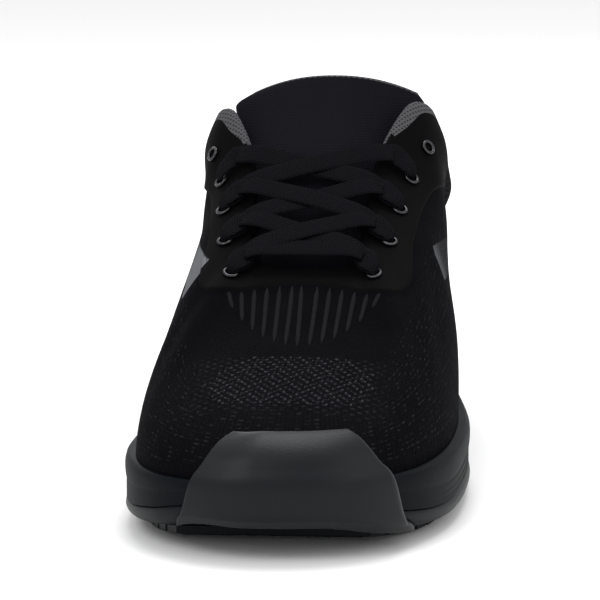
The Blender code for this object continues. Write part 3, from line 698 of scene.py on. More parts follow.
# Upper; band: middle height of the grey side band as way round and metres above the floor
upperCloth = {
    "columns": 112,
    "lowRows": 24,
    "highRows": 18,
    "seamRows": (0.006, 0.012),
    "linedFrom": 0.515,
    "throatEnd": 0.50,
    "liningTurn": 0.0040,
    "liningStart": (0.505, 0.56),
    "band": ((0.33, 0.073), (0.40, 0.0755), (0.48, 0.0765), (0.60, 0.075), (0.75, 0.071), (1.00, 0.074)),
    "bandHalf": 0.0055,
    "bandStart": {1.0: 0.445, -1.0: 0.335},
    "rimLift": 0.40,
    "rimAngles": (30, 60, 90, 120, 150),
}


def bandGap(way, side, height):  # metres outside the grey side band, negative on it
    aside = abs(height - readTable(upperCloth["band"], way, 1)) - upperCloth["bandHalf"]
    return max(aside, (upperCloth["bandStart"][side] - way) * 0.3)


def upperLevels(way, high):
    seam = seamClimb(way)
    turn = upperCloth["liningTurn"] * smoothStep(*upperCloth["liningStart"], way)
    top = 1.0 - max(turn, 0.0008) / high
    lowRows, highRows = upperCloth["lowRows"], upperCloth["highRows"]
    step, lip = (seam + rise for rise in upperCloth["seamRows"])
    out = [seam * i / lowRows for i in range(lowRows + 1)] + [step]
    out += [lip + (top - lip) * i / highRows for i in range(highRows + 1)]
    return out + [top + (1.0 - top) * i / 3 for i in (1, 2, 3)]


def makeUpper(slots):
    spots = roundTrip(upperCloth["columns"])
    around = len(spots)
    heights, levels = [], []
    for w, s in spots:
        run = [wallPoint(w, s, k / 10) for k in range(11)]
        heights.append(sum((b - a).length for a, b in zip(run, run[1:])))
        levels.append(upperLevels(w, heights[-1]))
    count = len(levels[0])
    face = [[wallPoint(w, s, levels[c][r]) for c, (w, s) in enumerate(spots)] for r in range(count)]
    out = gridDirections(face, True)
    skin, back = [], []
    for r in range(count):
        near, far = [], []
        for c, (w, s) in enumerate(spots):
            k = levels[c][r]
            fade = smoothStep(0.0, 0.12, k) * smoothStep(1.0, 0.92, k)
            lift = eyestayRise(w, k) - creaseDepth(w, s, k) * fade
            near.append(face[r][c] + out[r][c] * lift)
            far.append(face[r][c] - out[r][c] * wallDepth(w, k))
        skin.append(near)
        back.append(far)
    for a, b in zip(skin[0], back[0]):
        b.z = a.z
    rim = []
    for angle in upperCloth["rimAngles"]:
        turn = math.radians(angle)
        ring = []
        for a, b, under in zip(skin[-1], back[-1], skin[-2]):
            lift = (a - under).normalized() * (a - b).length * upperCloth["rimLift"]
            ring.append((a + b) / 2.0 + (a - b) / 2.0 * math.cos(turn) + lift * math.sin(turn))
        rim.append(ring)
    rings = skin + rim + [back[i] for i in range(count - 1, 0, -3)] + [back[0]]
    bm = bmesh.new()
    grid = bandMesh(bm, rings)
    for j in range(around):
        n = (j + 1) % around
        bm.faces.new((grid[-1][j], grid[-1][n], grid[0][n], grid[0][j]))
    bm.faces.ensure_lookup_table()
    for index, f in enumerate(bm.faces):
        ring = index // around
        w = spots[index % around][0]
        lined = ring >= count - 4 and w > upperCloth["linedFrom"]
        throatRim = count <= ring < count + len(rim) and w < upperCloth["throatEnd"]
        if lined or (ring >= count and not throatRim):
            f.material_index = 1
    thing = finishMesh("upper_knit", bm, slots)
    values = {name: [] for name in ("seamGap", "edgeGap", "around", "climbRun", "bandGap", "heelShare")}
    for r in range(len(rings)):
        for c, (w, s) in enumerate(spots):
            k = levels[c][min(r, count - 1)]
            measures = (
                (k - seamClimb(w)) * heights[c],
                (1.0 - k) * heights[c] if r < count else -0.001 * (r - count + 1),
                s * w * soleRun[s],
                k * heights[c],
                bandGap(w, s, face[min(r, count - 1)][c].z),
                w,
            )
            for column, value in zip(values.values(), measures):
                column.append(value)
    for name, column in values.items():
        writeAttribute(thing, name, column)
    return thing


# Toe bumper, heel clip and heel strips; border: level from the foot to the top edge, way round
# of the inner and of the outer border; strips: lower and upper climb, half width at either end
rubberParts = {
    "border": ((0.00, 0.108, 0.190), (0.44, 0.068, 0.128), (0.88, 0.045, 0.094), (1.00, 0.034, 0.080)),
    "bumperColumns": 96,
    "bumperClimb": 0.235,
    "bumperClimbs": 5,
    "bumperSizes": (0.0020, 0.0005, 0.0007),
    "bumperSeat": 0.001,
    "bumperBlend": 0.30,
    "wallLevels": (0.08, 0.22, 0.50, 0.86),
    "clipStart": 0.66,
    "clipHeight": 0.012,
    "clipRows": 10,
    "clipLift": 0.0009,
    "clipThickness": 0.0026,
    "strips": ((0.20, 0.60, 0.062, 0.050), (0.612, 0.96, 0.042, 0.034)),
    "stripThickness": 0.0009,
    "stripGrid": (28, 32),
    "skinGap": 0.0004,
}


def signedSpot(way):
    return abs(way), (1.0 if way >= 0.0 else -1.0)


def makeBumper(slots):
    walls, climbs = rubberParts["wallLevels"], rubberParts["bumperClimbs"]
    last, across = len(walls) + climbs, rubberParts["bumperColumns"]
    columns = []
    for c in range(across + 1):
        knots = []
        for r in range(last + 1):
            inner, outer = (readTable(rubberParts["border"], r / last, i, False) for i in (1, 2))
            way, side = signedSpot((inner + outer) * c / across - inner)
            p, outward = outlineAt(way, side)
            share = lengthShare(p)
            if r < len(walls):
                level = walls[r]
                proud = readTable(sole["outsoleSide"], level, 1, False) * shoe["grooveDepth"]
                edge = p + outward * (proud - undercut(way, level))
                edge.z = underside(share) + shoe["outsoleThickness"] * level
            elif r == len(walls):
                edge = p + outward * shoe["grooveDepth"] * 0.6
                edge.z = midsoleTop(share) - rubberParts["bumperSeat"]
            else:
                edge = wallPoint(way, side, rubberParts["bumperClimb"] * (r - len(walls)) / climbs)
            knots.append(edge)
        columns.append(curveThrough(knots, 5))
    grid = [list(row) for row in zip(*columns)]
    out = gridDirections(grid, False)
    out = [[d if d.dot(Vector((0, -1, 0.4))) > 0 or d.z > 0.3 else -d for d in row] for row in out]
    blend = [smoothStep(0.0, rubberParts["bumperBlend"], c / across) for c in range(across + 1)]
    return shellPiece("toe_bumper_rubber", grid, out, *rubberParts["bumperSizes"], slots, blend)


def climbAtHeight(way, side, height):
    return halving(0.0, 0.8, 14, lambda climb: wallPoint(way, side, climb).z < height)


def makeClip(slots):
    start, levels = rubberParts["clipStart"], rubberParts["clipRows"]
    spots = [(w, s) for w, s in roundTrip(sole["columns"]) if w >= start]

    def spot(r, c):
        w, s = spots[c]
        fade = min((w - start) / (1.0 - start) / 0.45, 1.0)
        tall = rubberParts["clipHeight"] * (0.25 + 0.75 * fade)
        foot = wallPoint(w, s, 0.0).z + rubberParts["clipLift"]
        climb = climbAtHeight(w, s, foot + tall * r / levels)
        return wallPoint(w, s, climb), wallNormal(w, s, climb)

    thick = rubberParts["clipThickness"]
    grids = patch(levels, len(spots) - 1, spot)
    return shellPiece("heel_clip_gloss", *grids, thick, thick * 0.35, rubberParts["skinGap"], slots)


def makeStrip(name, lowClimb, highClimb, lowHalf, highHalf, slots):
    rows, columns = rubberParts["stripGrid"]

    def spot(r, c):
        half = lowHalf + (highHalf - lowHalf) * r / rows
        way, side = signedSpot(half * (2.0 * c / columns - 1.0))
        climb = lowClimb + (highClimb - lowClimb) * r / rows
        return wallPoint(1.0 - way, side, climb), wallNormal(1.0 - way, side, climb)

    thick = rubberParts["stripThickness"]
    grids = patch(rows, columns, spot)
    return shellPiece(name, *grids, thick, thick * 0.3, rubberParts["skinGap"], slots)


# Tongue: share of length, share of collar height, share of tongue width, droop
tongueTable = (
    (0.395, 0.5354, 0.62, 0.08),
    (0.440, 0.6016, 0.70, 0.09),
    (0.500, 0.7015, 0.73, 0.10),
    (0.560, 0.8166, 0.75, 0.11),
    (0.610, 0.9209, 0.79, 0.12),
    (0.648, 1.0012, 0.90, 0.15),
    (0.672, 1.0610, 1.02, 0.19),
    (0.682, 1.0859, 0.88, 0.15),
)
tongueSizes = {
    "width": 0.070,
    "thickness": 0.007,
    "lean": 0.004,
    "stations": 72,
    "half": 18,
    "droopPower": 2.2,
    "edgeThin": 0.80,
    "tipThin": (0.1, 0.6),
}


def tongueFrame(k):  # middle of the tongue's face, its direction out, width, droop, thickness
    table = [(i / (len(tongueTable) - 1), *row) for i, row in enumerate(tongueTable)]

    def middle(share):
        share = min(max(share, 0.0), 1.0)
        return Vector((
            tongueSizes["lean"] * share**3 - shoe["toeOffset"] * shoe["throatSwing"][0] * (1.0 - share**3),
            shoe["length"] * (readTable(table, share, 1, False) - 0.5),
            shoe["collarHeight"] * readTable(table, share, 2, False),
        ))

    ahead = middle(k + 0.01) - middle(k - 0.01)
    ahead = Vector((0.0, ahead.y, ahead.z)).normalized()
    width = tongueSizes["width"] * readTable(table, k, 3, False) / 2.0
    droop = tongueSizes["width"] * readTable(table, k, 4, False)
    thick = tongueSizes["thickness"] * min(0.35 + 4.0 * k, 1.0)
    return middle(k), Vector((0.0, -ahead.z, ahead.y)), width, droop, thick


def makeTongue(slots):
    half, stations = tongueSizes["half"], tongueSizes["stations"]
    tip, thinned = tongueSizes["tipThin"]
    rings = []
    for s in range(stations + 1):
        k = s / stations
        centre, face, width, droop, thick = tongueFrame(k)
        thick *= 1.0 - max((k - 1.0 + tip) / tip, 0.0) ** 2 * thinned
        front, back = [], []
        for j in range(-half, half + 1):
            q = math.sin(math.pi / 2.0 * j / half)
            deep = thick * (1.0 - tongueSizes["edgeThin"] * abs(q) ** 3)
            p = centre + Vector((q * width, 0.0, 0.0)) - face * droop * abs(q) ** tongueSizes["droopPower"]
            front.append(p)
            back.append(p - face * deep)
        rings.append(front + back[::-1])
    bm = bmesh.new()
    grid = bandMesh(bm, rings)
    columns = len(rings[0])
    for ring in (grid[0], grid[-1]):
        for i in range(columns // 2 - 1):
            bm.faces.new((ring[i], ring[i + 1], ring[columns - 2 - i], ring[columns - 1 - i]))
    bm.faces.ensure_lookup_table()
    for index, f in enumerate(bm.faces):
        station, column = divmod(index, columns)
        f.material_index = 0 if column < 2 * half and station < stations - 2 else 1
    return finishMesh("tongue_padded", bm, slots)


# Bare label on the tongue's lining
labelSizes = {"low": 0.57, "high": 0.73, "half": 0.014, "grid": (16, 24), "shell": (0.0004, 0.0002, 0.0003)}


def makeLabel(slots):
    up, across = labelSizes["grid"]

    def spot(r, c):
        k = labelSizes["low"] + (labelSizes["high"] - labelSizes["low"]) * r / up
        centre, face, width, droop, thick = tongueFrame(k)
        x = labelSizes["half"] * (2.0 * c / across - 1.0)
        q = abs(x) / width
        deep = thick * (1.0 - tongueSizes["edgeThin"] * q**3)
        back = droop * q ** tongueSizes["droopPower"] + deep
        return centre + Vector((x, 0.0, 0.0)) - face * back, -face

    return shellPiece("tongue_label", *patch(up, across, spot), *labelSizes["shell"], slots)


# Lace: strands of flat webbing over the throat, gathered into the eyelets; legs: distance from
# the throat's edge and share of the width on the way out of an eyelet
laceSizes = {
    "width": 0.0086,
    "thickness": 0.0011,
    "gathered": 0.0034,
    "firstRow": 0.0072,
    "rowStep": 0.0190,
    "crossings": 3,
    "reach": 0.0044,
    "lift": 0.0010,
    "crown": 0.0042,
    "sink": 0.0016,
    "rise": 0.0010,
    "legs": ((0.0112, 0.86), (0.0078, 1.0)),
    "legLift": 0.0007,
    "over": 0.0007,
    "stack": 0.0014,
    "barStack": 0.0015,
    "steps": 40,
    "stackShare": 0.25,
    "overHalf": 0.42,
    "section": 14,
    "squareness": (0.55, 0.8),
    "throat": (0.18, 0.44, 60),
    "climbStep": 0.004,
    "eyeletEdge": 0.0145,
    "eyeletRows": 5,
    "eyeletRadius": 0.0023,
    "wireRadius": 0.0006,
    "holeMargin": 0.0004,
    "holeDepth": 0.0006,
    "holeLift": 0.0001,
}


def throatRun():  # way round against distance up the edge of the throat
    start, span, steps = laceSizes["throat"]
    out = [(start, 0.0)]
    for i in range(1, steps + 1):
        way = start + span * i / steps
        before, run = out[-1]
        out.append((way, run + (wallPoint(way, 1.0, 1.0) - wallPoint(before, 1.0, 1.0)).length))
    return out


throatTable = throatRun()


def rowWay(row):  # way round at a row of eyelets
    distance = laceSizes["firstRow"] + laceSizes["rowStep"] * row
    for (a, low), (b, high) in zip(throatTable, throatTable[1:]):
        if distance <= high:
            return a + (b - a) * (distance - low) / (high - low)
    return throatTable[-1][0]


def climbFromEdge(way, side, distance):
    climb, run = 1.0, 0.0
    here = wallPoint(way, side, climb)
    while run < distance:
        climb -= laceSizes["climbStep"]
        there = wallPoint(way, side, climb)
        run += (there - here).length
        here = there
    return climb


def lacePlane(row, across):
    way = rowWay(row)
    reach, crown = laceSizes["reach"], laceSizes["crown"]
    ends = [skinPoint(way, s, climbFromEdge(way, s, reach), laceSizes["lift"]) for s in (-1.0, 1.0)]
    up = (wallNormal(way, 1.0, 0.97) + wallNormal(way, -1.0, 0.97)).normalized()
    return ends[0].lerp(ends[1], (across + 1.0) / 2.0) + up * crown * (1.0 - across**6), up


def eyeletSpot(row, side):
    way = rowWay(row)
    climb = climbFromEdge(way, side, laceSizes["eyeletEdge"])
    return skinPoint(way, side, climb), wallNormal(way, side, climb)


def diveLegs(row, side, stack):  # from inside an eyelet up to the edge of the throat
    p, out = eyeletSpot(row, side)
    legs = [
        (p - out * laceSizes["sink"], out, laceSizes["gathered"] * 0.8),
        (p + out * (laceSizes["rise"] + stack * 0.5), out, laceSizes["gathered"]),
    ]
    for distance, wide in laceSizes["legs"]:
        way = rowWay(row)
        climb = climbFromEdge(way, side, distance)
        up = wallNormal(way, side, climb)
        lift = laceSizes["thickness"] / 2.0 + laceSizes["legLift"] + stack
        legs.append((skinPoint(way, side, climb) + up * lift, up, laceSizes["width"] * wide))
    return legs


def strandPath(rowA, rowB, side, over, stackA, stackB):  # centre, up direction and width along it
    legs = diveLegs(rowA, side, stackA)
    part = laceSizes["stackShare"]
    for i in range(laceSizes["steps"] + 1):
        t = i / laceSizes["steps"]
        across = side * (1.0 - 2.0 * t)
        p, up = lacePlane(rowA + (rowB - rowA) * t, across)
        stack = stackA * max(1.0 - t / part, 0.0) + stackB * max((t - 1.0 + part) / part, 0.0)
        lift = laceSizes["thickness"] / 2.0 + over * bell(across, 0.0, laceSizes["overHalf"]) + stack
        legs.append((p + up * lift, up, laceSizes["width"]))
    return legs + diveLegs(rowB, -side, stackB)[::-1]


def makeLace(slots):
    over, stack, bar = (laceSizes[key] for key in ("over", "stack", "barStack"))
    strands = [strandPath(0, 0, -1.0, 0.0, bar, bar)]
    for row in range(laceSizes["crossings"]):
        first = 1.0 if row % 2 else -1.0
        for way in (1.0, -1.0):
            strands.append(strandPath(row, row + 1, first * way, over * way, 0.0, stack))
    bm = bmesh.new()
    along, aside = [], []
    squareWide, squareTall = laceSizes["squareness"]
    for strand in strands:
        points, ups, widths = zip(*strand)
        rows, run = [], 0.0
        smooth = curveThrough(points, 2)
        for i, p in enumerate(smooth):
            ahead = (smooth[min(i + 1, len(smooth) - 1)] - smooth[max(i - 1, 0)]).normalized()
            k = min(i / 2.0, len(ups) - 1)
            low = int(k)
            high = min(low + 1, len(ups) - 1)
            up = ups[low].lerp(ups[high], k - low)
            up = (up - ahead * up.dot(ahead)).normalized()
            width = widths[low] + (widths[high] - widths[low]) * (k - low)
            sideways = up.cross(ahead)
            if i:
                run += (p - smooth[i - 1]).length
            line = []
            for j in range(laceSizes["section"]):
                angle = 2.0 * math.pi * j / laceSizes["section"]
                c, s = math.cos(angle), math.sin(angle)
                wide = math.copysign(abs(c) ** squareWide, c) * width / 2.0
                tall = math.copysign(abs(s) ** squareTall, s) * laceSizes["thickness"] / 2.0
                line.append(p + sideways * wide + up * tall)
                along.append(run)
                aside.append(wide)
            rows.append(line)
        grid = bandMesh(bm, rows)
        bm.faces.new(grid[0])
        bm.faces.new(grid[-1][::-1])
    thing = finishMesh("lace_woven", bm, slots)
    writeAttribute(thing, "laceRun", along)
    writeAttribute(thing, "laceSide", aside)
    return thing


# Geometry Nodes: a Pattern builds one tree, runs it on a carrier and hands back a plain mesh
class Pattern:
    def __init__(self, name):
        self.name = name
        self.tree = bpy.data.node_groups.new(name, "GeometryNodeTree")
        for way in ("INPUT", "OUTPUT"):
            self.tree.interface.new_socket("Geometry", in_out=way, socket_type="NodeSocketGeometry")
        self.start = self.tree.nodes.new("NodeGroupInput")
        self.end = self.tree.nodes.new("NodeGroupOutput")
        self.values = {}

    def number(self, name, value):
        item = self.tree.interface.new_socket(name, in_out="INPUT", socket_type="NodeSocketFloat")
        self.values[item.identifier] = value
        return self.start.outputs[name]

    def node(self, kind, settings=None, inputs=None):
        return addNode(self.tree, kind, settings, inputs).outputs[0]

    def stored(self, name, kind="FLOAT"):
        return self.node("GeometryNodeInputNamedAttribute", {"data_type": kind}, {"Name": name})

    def circle(self, name, radius, corners):
        inputs = {"Resolution": corners, "Radius": self.number(name, radius)}
        return self.node("GeometryNodeCurvePrimitiveCircle", None, inputs)

    def result(self, geometry, material, carrier):
        realized = self.node("GeometryNodeRealizeInstances", None, {0: geometry})
        painted = self.node("GeometryNodeSetMaterial", None, {"Geometry": realized, "Material": material})
        self.tree.links.new(painted, self.end.inputs[0])
        modifier = carrier.modifiers.new("pattern", "NODES")
        modifier.node_group = self.tree
        for identifier, value in self.values.items():
            modifier[identifier] = value
        evaluated = carrier.evaluated_get(bpy.context.evaluated_depsgraph_get())
        mesh = bpy.data.meshes.new_from_object(evaluated)
        carrier.modifiers.remove(modifier)
        bpy.data.objects.remove(carrier, do_unlink=True)
        mesh.shade_smooth()
        return addObject(self.name, mesh)


def carrierOf(points, edges=(), **columns):  # points already in the frame, with named values
    mesh = bpy.data.meshes.new("carrier")
    mesh.from_pydata([tuple(p) for p in points], list(edges), [])
    for name, values in columns.items():
        if isinstance(values[0], Vector):
            layer = mesh.attributes.new(name, "FLOAT_VECTOR", "POINT")
            layer.data.foreach_set("vector", [v for value in values for v in value])
        else:
            mesh.attributes.new(name, "FLOAT", "POINT").data.foreach_set("value", values)
    return addObject("carrier", mesh)


def scatter(pattern, shape, material, spots):  # spots: place, direction out, direction along, size
    turn = "FunctionNodeAlignRotationToVector"
    facing = {"Vector": pattern.stored("facing", "FLOAT_VECTOR")}
    turned = {"Rotation": pattern.node(turn, {"axis": "Z"}, facing)}
    turned["Vector"] = pattern.stored("along", "FLOAT_VECTOR")
    inputs = {"Points": pattern.start.outputs[0], "Instance": shape, "Scale": pattern.stored("size")}
    inputs["Rotation"] = pattern.node(turn, {"axis": "X", "pivot_axis": "Z"}, turned)
    placed = pattern.node("GeometryNodeInstanceOnPoints", None, inputs)
    points, facing, along, size = zip(*spots)
    return pattern.result(placed, material, carrierOf(points, facing=facing, along=along, size=size))


def eyeletSpots(lift):
    spots = []
    for side in (-1.0, 1.0):
        for row in range(laceSizes["eyeletRows"]):
            p, out = eyeletSpot(row, side)
            spots.append((p + out * lift + shift, out, Vector((0, 1, 0)), 1.0))
    return spots


def makeEyelets(material):
    pattern = Pattern("eyelet_rings")
    circle = pattern.circle("Ring radius", laceSizes["eyeletRadius"], 24)
    section = pattern.circle("Wire radius", laceSizes["wireRadius"], 10)
    ring = pattern.node("GeometryNodeCurveToMesh", None, {"Curve": circle, "Profile Curve": section})
    return scatter(pattern, ring, material, eyeletSpots(laceSizes["wireRadius"]))


# near-black disks set inside the eyelet rings: painted shade standing for the dark inside of each hole
def makeEyeletHoleShade(material):
    pattern = Pattern("eyelet_hole_shade")
    radius = pattern.number("Hole radius", laceSizes["eyeletRadius"] - laceSizes["holeMargin"])
    inputs = {"Vertices": 20, "Radius": radius, "Depth": laceSizes["holeDepth"]}
    disk = pattern.node("GeometryNodeMeshCylinder", None, inputs)
    return scatter(pattern, disk, material, eyeletSpots(laceSizes["holeLift"]))


def makeBeads(name, material, length, width, spots):  # small rounded stitches or knit nubs
    pattern = Pattern(name)
    x, y = pattern.number("Bead length", length), pattern.number("Bead width", width)
    bead = pattern.node("GeometryNodeMeshUVSphere", None, {"Segments": 8, "Rings": 5, "Radius": 0.5})
    size = pattern.node("ShaderNodeCombineXYZ", None, {"X": x, "Y": y, "Z": y})
    shaped = pattern.node("GeometryNodeTransform", None, {"Geometry": bead, "Scale": size})
    return scatter(pattern, shaped, material, spots)


# Stitches along the heel strips; bars: climb and half width of the two rows between them
stitching = {
    "pitch": 0.0031,
    "length": 0.0021,
    "thread": 0.0007,
    "lift": 0.0014,
    "inside": 0.90,
    "margin": 0.03,
    "bars": ((0.585, 0.050), (0.627, 0.042)),
}


def wallSpots(path):  # evenly spaced spots along a path of (way, side, climb)
    points = [wallPoint(*spot) for spot in path]
    normals = [wallNormal(*spot) for spot in path]
    spots, travelled, wanted = [], 0.0, stitching["pitch"] / 2.0
    for i in range(len(points) - 1):
        along = points[i + 1] - points[i]
        while wanted <= travelled + along.length:
            k = (wanted - travelled) / along.length
            out = normals[i].lerp(normals[i + 1], k).normalized()
            spot = points[i].lerp(points[i + 1], k) + out * stitching["lift"] + shift
            spots.append((spot, out, along, 1.0))
            wanted += stitching["pitch"]
        travelled += along.length
    return spots


def makeStitches(material):
    inside, margin = stitching["inside"], stitching["margin"]
    paths = []
    for side in (-1.0, 1.0):
        for low, high, lowHalf, highHalf in rubberParts["strips"]:
            path = []
            for i in range(25):
                k = i / 24
                half = (lowHalf + (highHalf - lowHalf) * k) * inside
                path.append((1.0 - half, side, low + (high - low) * (margin + (1.0 - 2.0 * margin) * k)))
            paths.append(path)
    for climb, half in stitching["bars"]:
        ends = [signedSpot(half * inside * t / 12) for t in range(-12, 13)]
        paths.append([(1.0 - way, side, climb) for way, side in ends])
    spots = [spot for path in paths for spot in wallSpots(path)]
    return makeBeads("heel_stitches", material, stitching["length"], stitching["thread"], spots)


ribSizes = {
    "count": 13,
    "steps": 22,
    "middle": -0.0015,
    "topHalf": 0.0265,
    "footHalf": 0.0245,
    "footClimb": 0.70,
    "footRise": 0.165,
    "startGap": 0.0003,
    "radii": (0.00095, 0.00080),
}


def seamSpot(x):  # place on the eyestay's front seam with a given sideways distance
    side = 1.0 if x >= 0.0 else -1.0
    way = halving(0.0, 0.34, 16, lambda way: wallPoint(way, side, seamClimb(way)).x * side < x * side)
    return way, side


def ontoSkin(tree, x, y):  # the place and direction of the upper's face over a point of the plan
    return tree.ray_cast(Vector((x, y, 0.2)), Vector((0.0, 0.0, -1.0)))[:2]


def makeRibs(tree, material):  # a fan of knit ribs under the eyestay's front seam
    points, edges, radii = [], [], []
    half = (ribSizes["count"] - 1) / 2.0
    start, end = ribSizes["radii"]
    for i in range(ribSizes["count"]):
        share = (i - half) / half
        way, side = seamSpot(ribSizes["middle"] + share * ribSizes["topHalf"])
        top = wallPoint(way, side, seamClimb(way)) + shift
        top += (wallPoint(way, side, seamClimb(way) - 0.02) + shift - top).normalized() * ribSizes["startGap"]
        foot = wallPoint(0.0, 1.0, ribSizes["footClimb"] + ribSizes["footRise"] * share * share) + shift
        foot.x = shift.x + ribSizes["middle"] + share * ribSizes["footHalf"]
        for s in range(ribSizes["steps"] + 1):
            k = s / ribSizes["steps"]
            hit, out = ontoSkin(tree, top.x + (foot.x - top.x) * k, top.y + (foot.y - top.y) * k)
            radius = start + (end - start) * k
            radius *= min(1.0, 0.25 + 6.0 * k) * min(1.0, 0.25 + 6.0 * (1.0 - k))
            points.append(hit - out * radius * 0.25)
            radii.append(radius)
            if s:
                edges.append((len(points) - 2, len(points) - 1))
    pattern = Pattern("vamp_ribs")
    curve = pattern.node("GeometryNodeMeshToCurve", None, {0: pattern.start.outputs[0]})
    sweep = {"Curve": curve, "Profile Curve": pattern.circle("Profile radius", 1.0, 10), "Fill Caps": True}
    sweep["Scale"] = pattern.stored("thick")
    ribs = pattern.node("GeometryNodeCurveToMesh", None, sweep)
    return pattern.result(ribs, material, carrierOf(points, edges, thick=radii))


nubSizes = {
    "pitch": 0.0031,
    "rowShare": 0.62,
    "start": -0.1155,
    "end": -0.0805,
    "half": 0.016,
    "swell": 0.012,
    "middle": 0.001,
    "drift": 0.0045,
    "length": 0.0017,
    "width": 0.0010,
    "sink": 0.0001,
}


def makeNubs(tree, material):  # raised knit dots over the toe, in a staggered net
    spots, row = [], 0
    start, end, pitch = (nubSizes[key] for key in ("start", "end", "pitch"))
    y = start
    while y < end:
        share = (y - start) / (end - start)
        half = nubSizes["half"] + nubSizes["swell"] * math.sin(math.pi * min(share * 0.8 + 0.15, 1.0))
        middle = nubSizes["middle"] - nubSizes["drift"] * (1.0 - share)
        count = int(half / pitch)
        for i in range(-count, count + 1):
            hit, out = ontoSkin(tree, middle + (i + (0.5 if row % 2 else 0.0)) * pitch, y)
            size = 0.75 + 0.25 * math.sin(i * 2.7 + row * 1.9)
            spots.append((hit - out * nubSizes["sink"], out, Vector((math.cos(row + i), 1.0, 0.0)), size))
        y += pitch * nubSizes["rowShare"]
        row += 1
    return makeBeads("toe_nubs", material, nubSizes["length"], nubSizes["width"], spots)


# Finishes: dark and light tone of each
tones = {
    "knit": ((0.0018, 0.0018, 0.0026), (0.0080, 0.0080, 0.0100)),
    "mark": ((0.026, 0.026, 0.030),),
    "eyestay": ((0.0022, 0.0022, 0.0024),),
    "lining": ((0.070, 0.070, 0.075), (0.0130, 0.0130, 0.0145)),
    "band": ((0.010, 0.010, 0.012), (0.085, 0.088, 0.094)),
    "bandFront": ((0.190, 0.195, 0.205),),
    "tongue": ((0.0050, 0.0048, 0.0070), (0.0085, 0.0082, 0.0110)),
    "strip": ((0.0030, 0.0030, 0.0034), (0.0052, 0.0052, 0.0056)),
    "foam": ((0.0026, 0.0036, 0.0047), (0.0046, 0.0060, 0.0074)),
    "rubber": ((0.0026, 0.0035, 0.0048), (0.0046, 0.0058, 0.0076)),
    "scuff": ((0.016, 0.018, 0.021),),
    "clip": ((0.0030, 0.0034, 0.0042), (0.0030, 0.0034, 0.0042)),
    "lace": ((0.0026, 0.0026, 0.0034), (0.0068, 0.0068, 0.0086)),
    "metal": ((0.020, 0.020, 0.022), (0.075, 0.075, 0.080)),
    "rib": ((0.0040, 0.0040, 0.0048), (0.0150, 0.0150, 0.0175)),
    "nub": ((0.0150, 0.0150, 0.0175), (0.0480, 0.0480, 0.0540)),
    "thread": ((0.0100, 0.0100, 0.0110), (0.0300, 0.0300, 0.0320)),
    # near-black tone of the disks in the eyelets: painted shade of the holes' insides
    "holeShade": ((0.002, 0.002, 0.002), (0.004, 0.004, 0.004)),
    "label": ((0.52, 0.52, 0.50), (0.64, 0.64, 0.62)),
    "floor": ((0.86, 0.86, 0.86), (0.88, 0.88, 0.88)),
}
tones = {name: [(*colour, 1.0) for colour in colours] for name, colours in tones.items()}


def clothFinish(name):
    return Finish(name, Roughness=0.85, Specular_IOR_Level=0.02)


def makeKnitFinish():
    cloth = clothFinish("knitCloth")
    step, wave = cloth.step, cloth.wave
    around, climb, seam, band, edge, heel = (
        cloth.attribute(name) for name in ("around", "climbRun", "seamGap", "bandGap", "edgeGap", "heelShare")
    )
    here = cloth.place()
    x, y, z = cloth.axes(here)
    loops = wave(around, 0.0017) * wave(climb, 0.0013)
    fuzz = cloth.noise(here, 2600.0, 2.0)
    patches = cloth.noise(here, 60.0)
    onBand = step(band, 0.0003, -0.0003)
    behind = step(heel, 0.62, 0.70)
    onStay = step(seam, 0.0, 0.0006) * (1.0 - behind)
    # raised net over the toe, patchy, thinning to the sides
    toe = step(y, -0.0790, -0.0830) * step(y, -0.1225, -0.1190)
    toe = toe * step(cloth.maths("ABSOLUTE", x + 0.002), 0.036, 0.024)
    net = wave(x + y * 1.25, 0.0046, 2.0) * wave(x - y * 1.25, 0.0046, 2.0)
    clumps = step(cloth.noise(here, 170.0, 3.0, 0.65), 0.40, 0.62)
    dots = net * toe * (0.35 + clumps * 0.65)
    # rows of short dashes on the sides, upright ones under the band
    clear = (1.0 - toe) * (1.0 - onStay) * (1.0 - onBand)
    below = step(climb, 0.004, 0.010) * (1.0 - (1.0 - behind) * step(seam, -0.012, -0.006))
    below = below * step(edge, 0.0015, 0.0030)
    stretched = cloth.node("ShaderNodeCombineXYZ", None, {"X": around * 240.0, "Y": climb * 420.0})
    many = step(cloth.noise(stretched, 1.0, 1.0), 0.50 - behind * 0.14, 0.62 - behind * 0.10)
    dashes = wave(climb, 0.0028, 3.0) * many * wave(around, 0.0036)
    upright = wave(around, 0.0030, 3.0) * step(wave(climb, 0.0058), 0.35, 0.6)
    low = step(heel, 0.52, 0.60) * step(band, -0.001, 0.004) * step(z, 0.070, 0.066)
    marks = clear * below * (dashes * (1.0 - low) * (0.75 + behind * 0.3) + upright * low * 0.7)
    quiet = step(y, -0.086, -0.080) * step(y, -0.030, -0.040) * step(climb, 0.060, 0.066)
    marks = marks * (1.0 - quiet)
    tweed = wave(around, 0.0021) * wave(climb, 0.0017) * 0.55 + (fuzz - 0.5) * 1.1 + (patches - 0.5) * 0.5
    base = cloth.colours(loops * 0.35 + (patches - 0.5) * 0.5 + (fuzz - 0.5) * 0.5, *tones["knit"])
    base = cloth.colours(marks * 0.85 + dots * 0.75, base, *tones["mark"])
    base = cloth.colours(onStay, base, *tones["eyestay"])
    grey = cloth.colours(step(tweed, 0.0, 0.8), *tones["band"])
    grey = cloth.colours(step(heel, 0.50, 0.40) * (0.35 + fuzz * 0.5), grey, *tones["bandFront"])
    base = cloth.colours(onBand, base, grey)
    weave = loops * 0.5 + marks * 0.9 + dots * 1.2 + onBand * tweed * 0.6
    height = (1.0 - onStay) * weave + onStay * cloth.noise(here, 1400.0, 4.0) * 0.18
    return cloth.use(Base_Color=base, Roughness=0.90 - onStay * 0.20, Normal=cloth.bump(height, 0.0007, 0.8))


